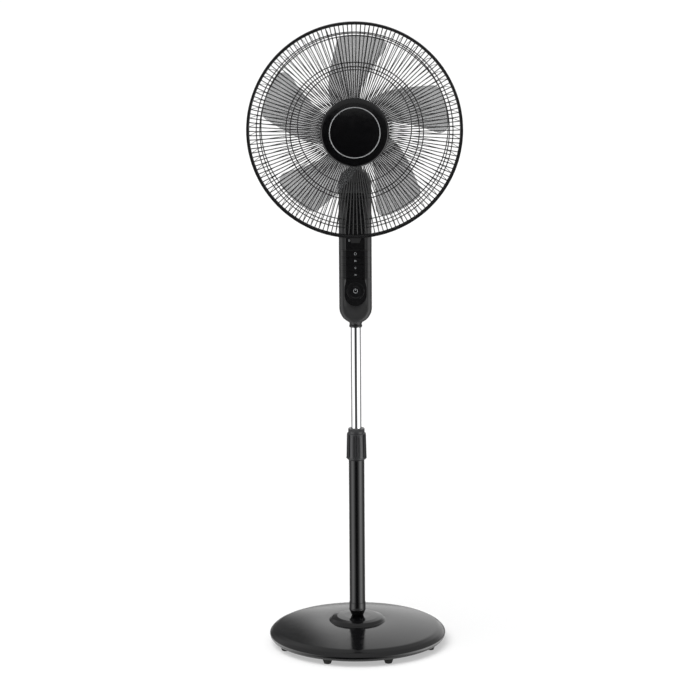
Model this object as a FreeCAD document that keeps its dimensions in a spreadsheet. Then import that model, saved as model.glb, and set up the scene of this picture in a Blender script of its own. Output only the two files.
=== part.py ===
"""Pedestal fan: a parametric FreeCAD 1.1 document in millimetres.

The origin is on the floor under the middle of the base, +Z is up and the fan faces -Y.
Driving dimensions are cells of the sheet "Sizes"; every sub-part is bound to them by formulas.
Pieces of the head are drawn along their own Z axis, the motor axis pointing forwards, and
are then turned to face -Y at the height of that axis.
"""
import FreeCAD, Part
import math
import os

import Sketcher

Vector = FreeCAD.Vector
X_WAY = Vector(1, 0, 0)
Y_WAY = Vector(0, 1, 0)
Z_WAY = Vector(0, 0, 1)

doc = FreeCAD.newDocument("PedestalFan")
sheet = doc.addObject("Spreadsheet::Sheet", "Sizes")
parts = []


class Size:
    """A dimension: a formula of the sheet's named cells."""

    def __init__(self, formula):
        self.formula = formula

    def __add__(self, other):
        return Size(f"({self.formula} + {formula_of(other)})")

    def __radd__(self, other):
        return Size(f"({formula_of(other)} + {self.formula})")

    def __sub__(self, other):
        return Size(f"({self.formula} - {formula_of(other)})")

    def __rsub__(self, other):
        return Size(f"({formula_of(other)} - {self.formula})")

    def __mul__(self, other):
        return Size(f"({self.formula} * {formula_of(other)})")

    def __rmul__(self, other):
        return Size(f"({formula_of(other)} * {self.formula})")

    def __truediv__(self, other):
        return Size(f"({self.formula} / {formula_of(other)})")

    def __neg__(self):
        return Size(f"(0 - {self.formula})")


def formula_of(size):
    return size.formula if isinstance(size, Size) else f"{size}"


def value(size):
    """The number that a size has in the sheet now."""
    if isinstance(size, Size):
        return float(sheet.evalExpression(size.formula))
    return float(size)


def dimension(name, number):
    """Writes one driving dimension in the sheet and gives it back as a size."""
    row = len(sheet.getUsedCells()) // 2 + 1
    sheet.set(f"A{row}", f"'{name}")
    sheet.set(f"B{row}", f"{number}")
    sheet.setAlias(f"B{row}", name)
    return Size(f"Sizes.{name}")


# ---------------------------------------------------------------- driving dimensions

clearance = dimension("clearance", 0.4)
running_fit = dimension("running_fit", 0.05)
seat_gap = dimension("seat_gap", 0.02)

foot_height = dimension("foot_height", 12)
foot_top_radius = dimension("foot_top_radius", 12)
foot_floor_radius = dimension("foot_floor_radius", 7.4)
foot_circle_radius = dimension("foot_circle_radius", 171)
foot_count = 8
foot_first_angle = 22.5
foot_plug_radius = dimension("foot_plug_radius", 3)

base_radius = dimension("base_radius", 193)
base_wall = dimension("base_wall", 3)
base_lip_depth = dimension("base_lip_depth", 5)
base_rim_height = dimension("base_rim_height", 11)
base_shoulder_width = dimension("base_shoulder_width", 15)
base_shoulder_height = dimension("base_shoulder_height", 11)
base_dome_rise = dimension("base_dome_rise", 13.7)
bump_radius = dimension("bump_radius", 62.5)
bump_side_width = dimension("bump_side_width", 6.5)
bump_side_height = dimension("bump_side_height", 7)
bump_edge = dimension("bump_edge", 5)
bump_crown = dimension("bump_crown", 1.3)

pan_thickness = dimension("pan_thickness", 2)
weight_radius = dimension("weight_radius", 145)
weight_thickness = dimension("weight_thickness", 9)
base_screw_circle = dimension("base_screw_circle", 155)
base_screw_count = 5
boss_radius = dimension("boss_radius", 4.5)
small_screw_radius = dimension("small_screw_radius", 1.5)
small_head_radius = dimension("small_head_radius", 3.2)
small_head_height = dimension("small_head_height", 2.2)

socket_flange_radius = dimension("socket_flange_radius", 42)
socket_flange_thickness = dimension("socket_flange_thickness", 5)
socket_neck_radius = dimension("socket_neck_radius", 11.5)
socket_cone_foot_radius = dimension("socket_cone_foot_radius", 13.3)
socket_cone_height = dimension("socket_cone_height", 12)
socket_cup_depth = dimension("socket_cup_depth", 16)
socket_wall = dimension("socket_wall", 1)
socket_bolt_circle = dimension("socket_bolt_circle", 30)
socket_bolt_count = 4
bolt_radius = dimension("bolt_radius", 3)
bolt_head_radius = dimension("bolt_head_radius", 5.5)
bolt_head_height = dimension("bolt_head_height", 4)

outer_tube_radius = dimension("outer_tube_radius", 17)
inner_tube_radius = dimension("inner_tube_radius", 11)
tube_wall = dimension("tube_wall", 1.2)
outer_tube_top = dimension("outer_tube_top", 455)
inner_tube_foot = dimension("inner_tube_foot", 300)
stop_bush_length = dimension("stop_bush_length", 30)
sleeve_length = dimension("sleeve_length", 55)
sleeve_head_height = dimension("sleeve_head_height", 14)
sleeve_slot_width = dimension("sleeve_slot_width", 2.5)

collar_drop = dimension("collar_drop", 43.6)
collar_flange_height = dimension("collar_flange_height", 5.2)
collar_flange_radius = dimension("collar_flange_radius", 22.8)
collar_body_height = dimension("collar_body_height", 53.4)
collar_body_foot_radius = dimension("collar_body_foot_radius", 21.5)
collar_body_top_radius = dimension("collar_body_top_radius", 20.2)
collar_ring_height = dimension("collar_ring_height", 10.6)
collar_ring_radius = dimension("collar_ring_radius", 17.85)
collar_cluster_count = 6
cluster_turn = 30
collar_rib_spread = 6.3
collar_rib_width = dimension("collar_rib_width", 4)
collar_rib_height = dimension("collar_rib_height", 0.9)

column_foot_height = dimension("column_foot_height", 716)
column_width = dimension("column_width", 70)
column_depth = dimension("column_depth", 66)
column_length = dimension("column_length", 332)
column_edge_radius = dimension("column_edge_radius", 11)
column_wall = dimension("column_wall", 2.5)
neck_ring_radius = dimension("neck_ring_radius", 14)
neck_ring_height = dimension("neck_ring_height", 11.6)
neck_ring_hold = dimension("neck_ring_hold", 8)
holder_radius = dimension("holder_radius", 20)
holder_length = dimension("holder_length", 34)
column_bolt_radius = dimension("column_bolt_radius", 2.5)

lens_thickness = dimension("lens_thickness", 1.5)
lens_width = dimension("lens_width", 40)
lens_height = dimension("lens_height", 122)
bezel_width = dimension("bezel_width", 46.5)
bezel_foot_gap = dimension("bezel_foot_gap", 40)
bezel_height = dimension("bezel_height", 59.5)
power_button_radius = dimension("power_button_radius", 18.7)
power_button_rise = dimension("power_button_rise", 32.3)
power_button_depth = dimension("power_button_depth", 4)
button_travel = dimension("button_travel", 1)
stem_radius = dimension("stem_radius", 4)
key_pitch = dimension("key_pitch", 15.1)
key_gap = dimension("key_gap", 0.5)
key_width = dimension("key_width", 62)
key_depth = dimension("key_depth", 6)
key_window_foot = dimension("key_window_foot", 100)

board_width = dimension("board_width", 42)
board_thickness = dimension("board_thickness", 1.6)
board_set_back = dimension("board_set_back", 11)
board_length = dimension("board_length", 190)
board_foot = dimension("board_foot", 60)
switch_width = dimension("switch_width", 6)
switch_height = dimension("switch_height", 3.2)
display_width = dimension("display_width", 30)
display_height = dimension("display_height", 14)
display_depth = dimension("display_depth", 6)
display_rise = dimension("display_rise", 178)
receiver_rise = dimension("receiver_rise", 215)
receiver_width = dimension("receiver_width", 7)
transformer_width = dimension("transformer_width", 28)
transformer_depth = dimension("transformer_depth", 18)
case_screw_offset = dimension("case_screw_offset", 26)
case_screw_low = dimension("case_screw_low", 56)
case_screw_high = dimension("case_screw_high", 284)
gland_rise = dimension("gland_rise", 64)
gland_radius = dimension("gland_radius", 7)
gland_flange = dimension("gland_flange", 3)
cord_hole_radius = dimension("cord_hole_radius", 3.3)

pivot_drop = dimension("pivot_drop", 30)
pivot_radius = dimension("pivot_radius", 4)
pivot_boss_radius = dimension("pivot_boss_radius", 13)
tongue_width = dimension("tongue_width", 24)
tongue_depth = dimension("tongue_depth", 20)
washer_thickness = dimension("washer_thickness", 2)
cheek_thickness = dimension("cheek_thickness", 3)
cheek_depth = dimension("cheek_depth", 42)
cheek_rise = dimension("cheek_rise", 14)
cheek_drop = dimension("cheek_drop", 43)
slot_depth = dimension("slot_depth", 46)
platform_radius = dimension("platform_radius", 24)
platform_thickness = dimension("platform_thickness", 5)
platform_rise = dimension("platform_rise", 40)
swivel_pin_radius = dimension("swivel_pin_radius", 5)
swivel_pin_rise = dimension("swivel_pin_rise", 25)
clip_thickness = dimension("clip_thickness", 1.2)
clip_radius = dimension("clip_radius", 8)

gear_module = dimension("gear_module", 1.25)
swing_gear_teeth = 24
swing_pinion_teeth = 12
tooth_rise = 0.8
gear_thickness = dimension("gear_thickness", 5)
gear_backlash = dimension("gear_backlash", 0.25)
swing_motor_radius = dimension("swing_motor_radius", 15)
swing_motor_height = dimension("swing_motor_height", 11)
swing_shaft_radius = dimension("swing_shaft_radius", 2.5)
swivel_wall = dimension("swivel_wall", 2.5)
swivel_width = dimension("swivel_width", 62)
swivel_front = dimension("swivel_front", 26)
swivel_back = dimension("swivel_back", 41)

axis_rise = dimension("axis_rise", 79)
motor_radius = dimension("motor_radius", 46)
motor_wall = dimension("motor_wall", 2)
motor_front = dimension("motor_front", 45)
motor_split = dimension("motor_split", 2)
motor_back = dimension("motor_back", -38)
nose_radius = dimension("nose_radius", 15)
nose_length = dimension("nose_length", 16)
core_length = dimension("core_length", 28)
core_back = dimension("core_back", -12)
core_bore = dimension("core_bore", 24.5)
air_gap = dimension("air_gap", 0.5)
winding_inner_radius = dimension("winding_inner_radius", 27)
winding_outer_radius = dimension("winding_outer_radius", 36.5)
winding_length = dimension("winding_length", 11)
stator_bolt_circle = dimension("stator_bolt_circle", 40)
stator_bolt_radius = dimension("stator_bolt_radius", 2)
stator_bolt_count = 4
shaft_radius = dimension("shaft_radius", 4)
shaft_front = dimension("shaft_front", 116)
bearing_radius = dimension("bearing_radius", 11)
bearing_width = dimension("bearing_width", 7)
cover_radius = dimension("cover_radius", 52)
cover_wall = dimension("cover_wall", 2.2)
cover_back = dimension("cover_back", -72)
cover_dome = dimension("cover_dome", 24)
cover_crown_radius = dimension("cover_crown_radius", 26)
vent_count = 18
vent_width = dimension("vent_width", 3)
vent_inner_radius = dimension("vent_inner_radius", 12)
vent_outer_radius = dimension("vent_outer_radius", 23)
capacitor_width = dimension("capacitor_width", 38)
capacitor_height = dimension("capacitor_height", 24)
capacitor_depth = dimension("capacitor_depth", 16)

grille_radius = dimension("grille_radius", 225)
rim_plane = dimension("rim_plane", 124)
rim_band = dimension("rim_band", 4.6)
rim_wall = dimension("rim_wall", 2)
hoop_wire_radius = dimension("hoop_wire_radius", 2)
wire_radius = dimension("wire_radius", 1.05)
wire_count = 150
rear_wire_radius = dimension("rear_wire_radius", 0.7)
rear_wire_count = 75
front_bend_radius = dimension("front_bend_radius", 20)
rear_bend_radius = dimension("rear_bend_radius", 16)
ring_wire_radius = dimension("ring_wire_radius", 1.1)
weld_bite = dimension("weld_bite", 0.3)
outer_ring_radius = dimension("outer_ring_radius", 203.9)
second_ring_radius = dimension("second_ring_radius", 196.4)
third_ring_radius = dimension("third_ring_radius", 142.5)
inner_ring_radius = dimension("inner_ring_radius", 133.7)
cap_radius = dimension("cap_radius", 70.8)
cap_plane = dimension("cap_plane", 157.2)
cap_edge = dimension("cap_edge", 7)
cap_rise = dimension("cap_rise", 10)
cap_crown = dimension("cap_crown", 1.5)
silver_ring_radius = dimension("silver_ring_radius", 53)
silver_ring_width = dimension("silver_ring_width", 2)
silver_ring_depth = dimension("silver_ring_depth", 1.4)
backplate_radius = dimension("backplate_radius", 61)
backplate_thickness = dimension("backplate_thickness", 4)
wire_inner_end = dimension("wire_inner_end", 53)
front_wire_bend = dimension("front_wire_bend", 66)
front_shoulder_radius = dimension("front_shoulder_radius", 208)
front_shoulder_plane = dimension("front_shoulder_plane", 131.5)
rear_plate_radius = dimension("rear_plate_radius", 60)
rear_plate_plane = dimension("rear_plate_plane", 48)
rear_plate_thickness = dimension("rear_plate_thickness", 3)
rear_shoulder_radius = dimension("rear_shoulder_radius", 207)
rear_shoulder_plane = dimension("rear_shoulder_plane", 63)
rear_ring_radius = dimension("rear_ring_radius", 120)
nut_radius = dimension("nut_radius", 30)
nut_thickness = dimension("nut_thickness", 8)
nut_rib_count = 12
clip_width = dimension("clip_width", 25)
clip_foot_width = dimension("clip_foot_width", 17)
clip_height = dimension("clip_height", 10)

blade_count = 5
blade_tip_radius = dimension("blade_tip_radius", 196)
blade_hub_radius = dimension("blade_hub_radius", 34)
blade_plane = dimension("blade_plane", 89)
blade_depth = dimension("blade_depth", 29)
blade_thickness = dimension("blade_thickness", 2.2)
blade_camber = dimension("blade_camber", 4)
blade_corner_radius = dimension("blade_corner_radius", 18)
blade_mid_angle = dimension("blade_mid_angle", 92)
hub_length = dimension("hub_length", 30)
hub_wall = dimension("hub_wall", 3)
drive_pin_radius = dimension("drive_pin_radius", 1.5)
drive_pin_length = dimension("drive_pin_length", 22)
blade_nut_radius = dimension("blade_nut_radius", 16)
blade_nut_length = dimension("blade_nut_length", 20)

doc.recompute()


# ---------------------------------------------------------------- drawing and joining


def set_sizes(thing, **sizes):
    """Sets properties, binding those that are sizes to the sheet."""
    for name, size in sizes.items():
        setattr(thing, name, value(size))
        if isinstance(size, Size):
            thing.setExpression(name, size.formula)


def set_place(thing, x=0, y=0, z=0, turn=None):
    turn = turn or FreeCAD.Rotation()
    thing.Placement = FreeCAD.Placement(Vector(value(x), value(y), value(z)), turn)
    for axis, size in (("x", x), ("y", y), ("z", z)):
        if isinstance(size, Size):
            thing.setExpression(f"Placement.Base.{axis}", size.formula)


def cylinder(radius, length, x=0, y=0, z=0, along=Z_WAY):
    thing = doc.addObject("Part::Cylinder", "Cylinder")
    set_sizes(thing, Radius=radius, Height=length)
    set_place(thing, x, y, z, FreeCAD.Rotation(Z_WAY, along))
    return thing


def block(width, depth, height, x=0, y=0, z=0):
    """A box centred on x and y that stands on z."""
    thing = doc.addObject("Part::Box", "Block")
    set_sizes(thing, Length=width, Width=depth, Height=height)
    set_place(thing, x - width / 2, y - depth / 2, z)
    return thing


def torus(ring_radius, wire, z=0):
    thing = doc.addObject("Part::Torus", "Ring")
    set_sizes(thing, Radius1=ring_radius, Radius2=wire)
    set_place(thing, z=z)
    return thing


def fuse(*things):
    joined = doc.addObject("Part::MultiFuse", "Fuse")
    joined.Shapes = list(things)
    joined.Refine = True
    return joined


def cut(base, *tools):
    result = doc.addObject("Part::Cut", "Cut")
    result.Base = base
    result.Tool = tools[0] if len(tools) == 1 else fuse(*tools)
    return result


def common(first, second):
    result = doc.addObject("Part::Common", "Common")
    result.Base = first
    result.Tool = second
    return result


def group(*things):
    """Separate solids that share one node."""
    result = doc.addObject("Part::Compound", "Group")
    result.Links = list(things)
    return result


def tube(outer, inner, length, x=0, y=0, z=0, along=Z_WAY):
    return cut(cylinder(outer, length, x, y, z, along), cylinder(inner, length, x, y, z, along))


def plane_of(body, role):
    return next(item for item in body.Origin.OriginFeatures if item.Role == role)


def pin_point(sketch, edge, point, x, y):
    """Ties a point of a sketch to its place, axis by axis."""
    for kind, size in (("DistanceX", x), ("DistanceY", y)):
        index = sketch.addConstraint(Sketcher.Constraint(kind, edge, point, value(size)))
        if isinstance(size, Size):
            sketch.setExpression(f"Constraints[{index}]", size.formula)


def draw(sketch, outline):
    """Draws a closed outline. A corner is (x, y), and (x, y, radius, side) where the edge to
    the next corner is an arc whose centre lies on that side, "left" or "right", of the way."""
    count = len(outline)
    ends = []
    for i, corner in enumerate(outline):
        start = Vector(value(corner[0]), value(corner[1]), 0)
        after = outline[(i + 1) % count]
        end = Vector(value(after[0]), value(after[1]), 0)
        if len(corner) == 2:
            sketch.addGeometry(Part.LineSegment(start, end), False)
            ends.append((1, 2))
            continue
        radius = value(corner[2])
        chord = end - start
        lift = math.sqrt(max(radius ** 2 - (chord.Length / 2) ** 2, 0))
        to_left = Vector(-chord.y, chord.x, 0).normalize()
        left = corner[3] == "left"
        centre = (start + end) / 2 + to_left * (lift if left else -lift)
        low, high = (start, end) if left else (end, start)
        angles = [math.atan2(p.y - centre.y, p.x - centre.x) for p in (low, high)]
        circle = Part.Circle(centre, Z_WAY, radius)
        sketch.addGeometry(Part.ArcOfCircle(circle, angles[0], angles[1]), False)
        ends.append((1, 2) if left else (2, 1))
    for i, corner in enumerate(outline):
        after = (i + 1) % count
        sketch.addConstraint(
            Sketcher.Constraint("Coincident", i, ends[i][1], after, ends[after][0]))
        pin_point(sketch, i, ends[i][0], corner[0], corner[1])
        if len(corner) > 2:
            index = sketch.addConstraint(Sketcher.Constraint("Radius", i, value(corner[2])))
            if isinstance(corner[2], Size):
                sketch.setExpression(f"Constraints[{index}]", corner[2].formula)


def new_sketch(body, role, offset=0):
    sketch = body.newObject("Sketcher::SketchObject", "Outline")
    sketch.AttachmentSupport = [(plane_of(body, role), "")]
    sketch.MapMode = "FlatFace"
    if isinstance(offset, Size):
        sketch.setExpression("AttachmentOffset.Base.z", offset.formula)
    return sketch


def turned(outline):
    """A piece turned about its Z axis from an outline of (radius, height) corners."""
    body = doc.addObject("PartDesign::Body", "Turned")
    sketch = new_sketch(body, "XZ_Plane")
    draw(sketch, outline)
    feature = body.newObject("PartDesign::Revolution", "Revolution")
    feature.Profile = sketch
    feature.ReferenceAxis = (sketch, ["V_Axis"])
    feature.Angle = 360
    body.Tip = feature
    return body


def padded(outline, length, role="XY_Plane", offset=0, reverse=False):
    """A flat outline padded along its plane's normal."""
    body = doc.addObject("PartDesign::Body", "Padded")
    sketch = new_sketch(body, role, offset)
    draw(sketch, outline)
    feature = body.newObject("PartDesign::Pad", "Pad")
    feature.Profile = sketch
    feature.Reversed = reverse
    set_sizes(feature, Length=length)
    body.Tip = feature
    return body


def round_places(count, radius, first=0):
    """Places evenly spaced round the Z axis, as (x, y) sizes."""
    for i in range(count):
        angle = first + 360 * i / count
        yield radius * round(math.cos(math.radians(angle)), 9), \
            radius * round(math.sin(math.radians(angle)), 9), angle


def keep(label, thing, on_head=False):
    """Names a sub-part, and turns and lifts one that is drawn along the motor axis."""
    if on_head and thing.TypeId in ("Part::Box", "Part::Cylinder"):
        thing = group(thing)
    thing.Label = label
    if on_head:
        set_place(thing, z=axis_height, turn=FreeCAD.Rotation(X_WAY, 90))
    parts.append(thing)
    return thing


def shaped(label, shape, on_head=False):
    """A sub-part whose shape is made by rule from the sheet's values."""
    thing = doc.addObject("Part::Feature", "Shaped")
    thing.Shape = shape
    return keep(label, thing, on_head)


# ---------------------------------------------------------------- base

base_edge_foot = foot_height + 1
base_edge_top = base_edge_foot + base_rim_height
base_shoulder_radius = base_radius - base_shoulder_width
base_shoulder_top = base_edge_top + base_shoulder_height
base_dome_top = base_shoulder_top + base_dome_rise
bump_shoulder_radius = bump_radius - bump_side_width
bump_shoulder_top = base_dome_top + bump_side_height
bump_flat_radius = bump_shoulder_radius - bump_edge
bump_flat_top = bump_shoulder_top + bump_edge / 2
bump_top = bump_flat_top + bump_crown
base_screw_first_angle = 90
socket_hole_radius = socket_neck_radius + clearance
weight_foot = foot_height + pan_thickness
weight_top = weight_foot + weight_thickness
socket_flange_top = weight_top + socket_flange_thickness


def base_skin(inset):
    """Corners of the cover's skin from its middle to its lip, a wall thickness in or not."""
    return [
        (socket_hole_radius, bump_top - inset, bump_radius * 12, "right"),
        (bump_flat_radius - inset / 3, bump_flat_top - inset, bump_edge * 1.6, "right"),
        (bump_shoulder_radius - inset, bump_shoulder_top - inset / 2),
        (bump_radius - inset, base_dome_top - inset, base_radius * 4, "right"),
        (base_shoulder_radius - inset / 3, base_shoulder_top - inset,
         base_shoulder_width * 2.2, "right"),
        (base_radius - inset, base_edge_top - inset / 3),
    ]


def make_base_cover():
    lip = base_wall + clearance
    outer = base_skin(0) + [
        (base_radius, base_edge_foot + base_lip_depth, base_lip_depth * 1.6, "right"),
        (base_radius - lip, base_edge_foot),
        (base_radius - lip - base_wall, base_edge_foot),
    ]
    under = [(corner[0], corner[1]) for corner in reversed(base_skin(base_wall))]
    shell = turned(outer + under)
    boss_length = base_shoulder_top - weight_foot
    bosses = [
        cylinder(boss_radius, boss_length, x, y, weight_foot)
        for x, y, _ in round_places(base_screw_count, base_screw_circle, base_screw_first_angle)
    ]
    pilots = [
        cylinder(small_screw_radius, boss_length - base_wall, x, y, weight_foot)
        for x, y, _ in round_places(base_screw_count, base_screw_circle, base_screw_first_angle)
    ]
    keep("base_cover", cut(fuse(shell, *bosses), *pilots))


def make_base_pan():
    pan_radius = base_radius - base_wall * 2 - clearance * 3
    plate = cylinder(pan_radius, pan_thickness, z=foot_height)
    holes = [
        cylinder(small_screw_radius + running_fit, pan_thickness, x, y, foot_height)
        for x, y, _ in round_places(base_screw_count, base_screw_circle, base_screw_first_angle)
    ]
    holes += [
        cylinder(foot_plug_radius + running_fit, pan_thickness, x, y, foot_height)
        for x, y, _ in round_places(foot_count, foot_circle_radius, foot_first_angle)
    ]
    keep("base_pan", cut(plate, *holes))


def make_base_feet():
    feet = []
    for x, y, _ in round_places(foot_count, foot_circle_radius, foot_first_angle):
        foot = doc.addObject("Part::Cone", "Foot")
        set_sizes(foot, Radius1=foot_floor_radius, Radius2=foot_top_radius, Height=foot_height)
        set_place(foot, x, y)
        plug = cylinder(foot_plug_radius, pan_thickness, x, y, foot_height)
        feet.append(fuse(foot, plug))
    keep("base_feet", group(*feet))


def make_base_weight():
    plate = cylinder(weight_radius, weight_thickness, z=weight_foot)
    holes = [
        cylinder(bolt_radius, weight_thickness, x, y, weight_foot)
        for x, y, _ in round_places(socket_bolt_count, socket_bolt_circle, 45)
    ]
    keep("base_weight", cut(plate, *holes))


def make_base_screws():
    screws = []
    shank_length = base_shoulder_height + pan_thickness
    for x, y, _ in round_places(base_screw_count, base_screw_circle, base_screw_first_angle):
        head = cylinder(small_head_radius, small_head_height, x, y, foot_height - small_head_height)
        shank = cylinder(small_screw_radius, shank_length, x, y, foot_height)
        screws.append(fuse(head, shank))
    return screws


# ---------------------------------------------------------------- tubes and height collar

socket_cone_foot = bump_top + 2
socket_cup_foot = socket_cone_foot + socket_cone_height
socket_top = socket_cup_foot + socket_cup_depth
outer_tube_foot = socket_cup_foot + 2
collar_foot_height = outer_tube_top - collar_drop
outer_tube_bore = outer_tube_radius - tube_wall
inner_tube_bore = inner_tube_radius - tube_wall
inner_tube_top = column_foot_height + neck_ring_hold + holder_length
sleeve_foot = outer_tube_top - sleeve_length


def make_column_socket():
    cup_radius = outer_tube_radius + socket_wall
    body = turned([
        (0, weight_top),
        (socket_flange_radius, weight_top),
        (socket_flange_radius, socket_flange_top),
        (socket_neck_radius, socket_flange_top),
        (socket_neck_radius, bump_top),
        (socket_cone_foot_radius, socket_cone_foot),
        (cup_radius + clearance, socket_cup_foot),
        (cup_radius, socket_cup_foot + 1),
        (cup_radius, socket_top),
        (outer_tube_radius + seat_gap, socket_top),
        (outer_tube_radius + seat_gap, outer_tube_foot),
        (0, outer_tube_foot),
    ])
    holes = [
        cylinder(bolt_radius + running_fit, socket_flange_thickness, x, y, weight_top)
        for x, y, _ in round_places(socket_bolt_count, socket_bolt_circle, 45)
    ]
    keep("column_socket", cut(body, *holes))


def make_socket_bolts():
    bolts = []
    for x, y, _ in round_places(socket_bolt_count, socket_bolt_circle, 45):
        head = doc.addObject("Part::Prism", "Hex")
        head.Polygon = 6
        set_sizes(head, Circumradius=bolt_head_radius, Height=bolt_head_height)
        set_place(head, x, y, socket_flange_top)
        shank = cylinder(bolt_radius, socket_flange_thickness + weight_thickness - 1, x, y,
                         weight_foot + 1)
        bolts.append(fuse(head, shank))
    return bolts


def make_outer_tube():
    keep("outer_tube", tube(outer_tube_radius, outer_tube_bore,
                            outer_tube_top - outer_tube_foot, z=outer_tube_foot))


def make_collet_sleeve():
    """The split sleeve that the collar squeezes on the inner tube."""
    bore = inner_tube_radius + running_fit
    ring = turned([
        (bore, sleeve_foot),
        (outer_tube_bore - seat_gap, sleeve_foot),
        (outer_tube_bore - seat_gap, outer_tube_top),
        (outer_tube_radius, outer_tube_top),
        (outer_tube_radius - 1, outer_tube_top + sleeve_head_height),
        (bore, outer_tube_top + sleeve_head_height),
    ])
    slots = [
        block(sleeve_slot_width, outer_tube_radius * 2.2, sleeve_length,
              z=outer_tube_top + sleeve_head_height - sleeve_length * 0.8),
        block(outer_tube_radius * 2.2, sleeve_slot_width, sleeve_length,
              z=outer_tube_top + sleeve_head_height - sleeve_length * 0.8),
    ]
    keep("collet_sleeve", cut(ring, *slots))


def make_height_collar():
    """The hand-turned collar: a flange, a ribbed barrel and a narrow top ring."""
    wide_bore = outer_tube_radius + clearance
    narrow_bore = inner_tube_radius + clearance
    barrel_foot = collar_foot_height + collar_flange_height
    barrel_top = barrel_foot + collar_body_height
    collar_top = barrel_top + collar_ring_height
    step = outer_tube_top + sleeve_head_height + clearance
    body = turned([
        (wide_bore, collar_foot_height),
        (collar_ring_radius + 1, collar_foot_height),
        (collar_flange_radius, barrel_foot - 1.2),
        (collar_flange_radius, barrel_foot),
        (collar_body_foot_radius, barrel_foot),
        (collar_body_top_radius, barrel_top),
        (collar_ring_radius, barrel_top + 1.2),
        (collar_ring_radius, collar_top),
        (narrow_bore, collar_top),
        (narrow_bore, step),
        (wide_bore, step),
    ])
    ribs = []
    for first in (cluster_turn - collar_rib_spread, cluster_turn + collar_rib_spread):
        for x, y, angle in round_places(collar_cluster_count, collar_body_top_radius - 1, first):
            rib = group(block(collar_rib_height * 2 + 1, collar_rib_width,
                              collar_body_height - 3, z=barrel_foot + 1.5))
            set_place(rib, x, y, turn=FreeCAD.Rotation(Z_WAY, angle))
            ribs.append(rib)
    keep("height_collar", fuse(body, *ribs))


def make_inner_tube():
    length = inner_tube_top - inner_tube_foot
    cross_hole = cylinder(column_bolt_radius + seat_gap, inner_tube_radius * 3,
                          inner_tube_radius * -1.5, 0, holder_middle, X_WAY)
    keep("inner_tube", cut(tube(inner_tube_radius, inner_tube_bore, length, z=inner_tube_foot),
                           cross_hole))


def make_tube_stop_bush():
    keep("tube_stop_bush", tube(outer_tube_bore - running_fit * 2, inner_tube_radius + seat_gap,
                                stop_bush_length, z=inner_tube_foot))


# ---------------------------------------------------------------- column head

column_half_width = column_width / 2
column_half_depth = column_depth / 2
column_low_centre = column_foot_height + column_half_width
column_top = column_foot_height + column_length
column_high_centre = column_top - column_half_width
holder_foot = column_foot_height + neck_ring_hold + 4
holder_middle = holder_foot + holder_length / 2 - 2
pivot_height = column_top - pivot_drop
board_front = -(column_half_depth - board_set_back)
button_height = column_foot_height + bezel_foot_gap + power_button_rise
key_window_height = column_foot_height + key_window_foot
key_height = key_pitch - key_gap
stem_reach = board_set_back - switch_height - button_travel - 0.2
cheek_inside = tongue_width / 2 + washer_thickness + clearance / 2
cheek_outside = cheek_inside + cheek_thickness


def column_half(inset, to_back):
    """Half of the column's stadium block, with its outer edge rounded."""
    radius = column_half_width - inset
    body = padded([
        (radius, column_low_centre),
        (radius, column_high_centre, radius * 1.0000001, "left"),
        (-radius, column_high_centre),
        (-radius, column_low_centre, radius * 1.0000001, "left"),
    ], column_half_depth - inset, "XZ_Plane", reverse=to_back)
    doc.recompute()
    far = value(column_half_depth - inset)
    pad = body.Tip
    edges = [
        f"Edge{i}" for i, edge in enumerate(pad.Shape.Edges, 1)
        if all(abs(abs(vertex.Point.y) - far) < 1e-4 for vertex in edge.Vertexes)
    ]
    rounding = body.newObject("PartDesign::Fillet", "Rounding")
    rounding.Base = (pad, edges)
    set_sizes(rounding, Radius=column_edge_radius - inset)
    body.Tip = rounding
    return body


def case_screw_places():
    for x in (-case_screw_offset, case_screw_offset):
        for rise in (case_screw_low, case_screw_high):
            yield x, column_foot_height + rise


def column_hole():
    return cylinder(neck_ring_radius + seat_gap, column_half_width, z=column_foot_height - 1)


def tilt_slot():
    return block(cheek_inside * 2, slot_depth, pivot_drop, z=column_top - pivot_drop / 2)


def bezel_block(grow, thickness):
    """The lower lens: a strip that widens round the power button to a half-round end."""
    foot = column_foot_height + bezel_foot_gap
    radius = bezel_width / 2 + grow
    centre = foot + bezel_width / 2
    half_strip = lens_width / 2 + grow
    top = foot + bezel_height + grow
    flare = bezel_height * 0.2
    return padded([
        (radius, centre),
        (radius, top - flare * 1.6),
        (half_strip, top - flare * 0.4),
        (half_strip, top),
        (-half_strip, top),
        (-half_strip, top - flare * 0.4),
        (-radius, top - flare * 1.6),
        (-radius, centre, radius * 1.0000001, "left"),
    ], thickness, "XZ_Plane", offset=column_half_depth - thickness)


def lens_block(grow, thickness):
    """The upper lens: a plain strip above the keys."""
    foot = key_window_height + key_pitch * 4 + key_gap
    return block(lens_width + grow * 2, thickness, lens_height + grow * 2,
                 0, thickness / 2 - column_half_depth, foot - grow)


def make_front_housing():
    boss_bite = 0.3
    boss_length = column_half_depth - column_wall + boss_bite
    shell = cut(column_half(0, False), column_half(column_wall, False))
    bosses = [cylinder(boss_radius, boss_length, x, -boss_length, z, Y_WAY)
              for x, z in case_screw_places()]
    pilots = [cylinder(small_screw_radius, boss_length - 4, x, -boss_length + 4, z, Y_WAY)
              for x, z in case_screw_places()]
    key_window = block(key_width + clearance * 2, key_depth * 3, key_pitch * 4 + clearance,
                       0, -column_half_depth, key_window_height - clearance / 2 - key_gap / 2)
    button_hole = cylinder(power_button_radius + clearance, column_wall * 3, 0,
                           -column_half_depth - 1, button_height, Y_WAY)
    keep("front_housing", cut(fuse(shell, *bosses), *pilots, key_window, button_hole,
                              bezel_block(clearance / 2, lens_thickness),
                              lens_block(clearance / 2, lens_thickness),
                              tilt_slot(), column_hole()))


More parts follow.
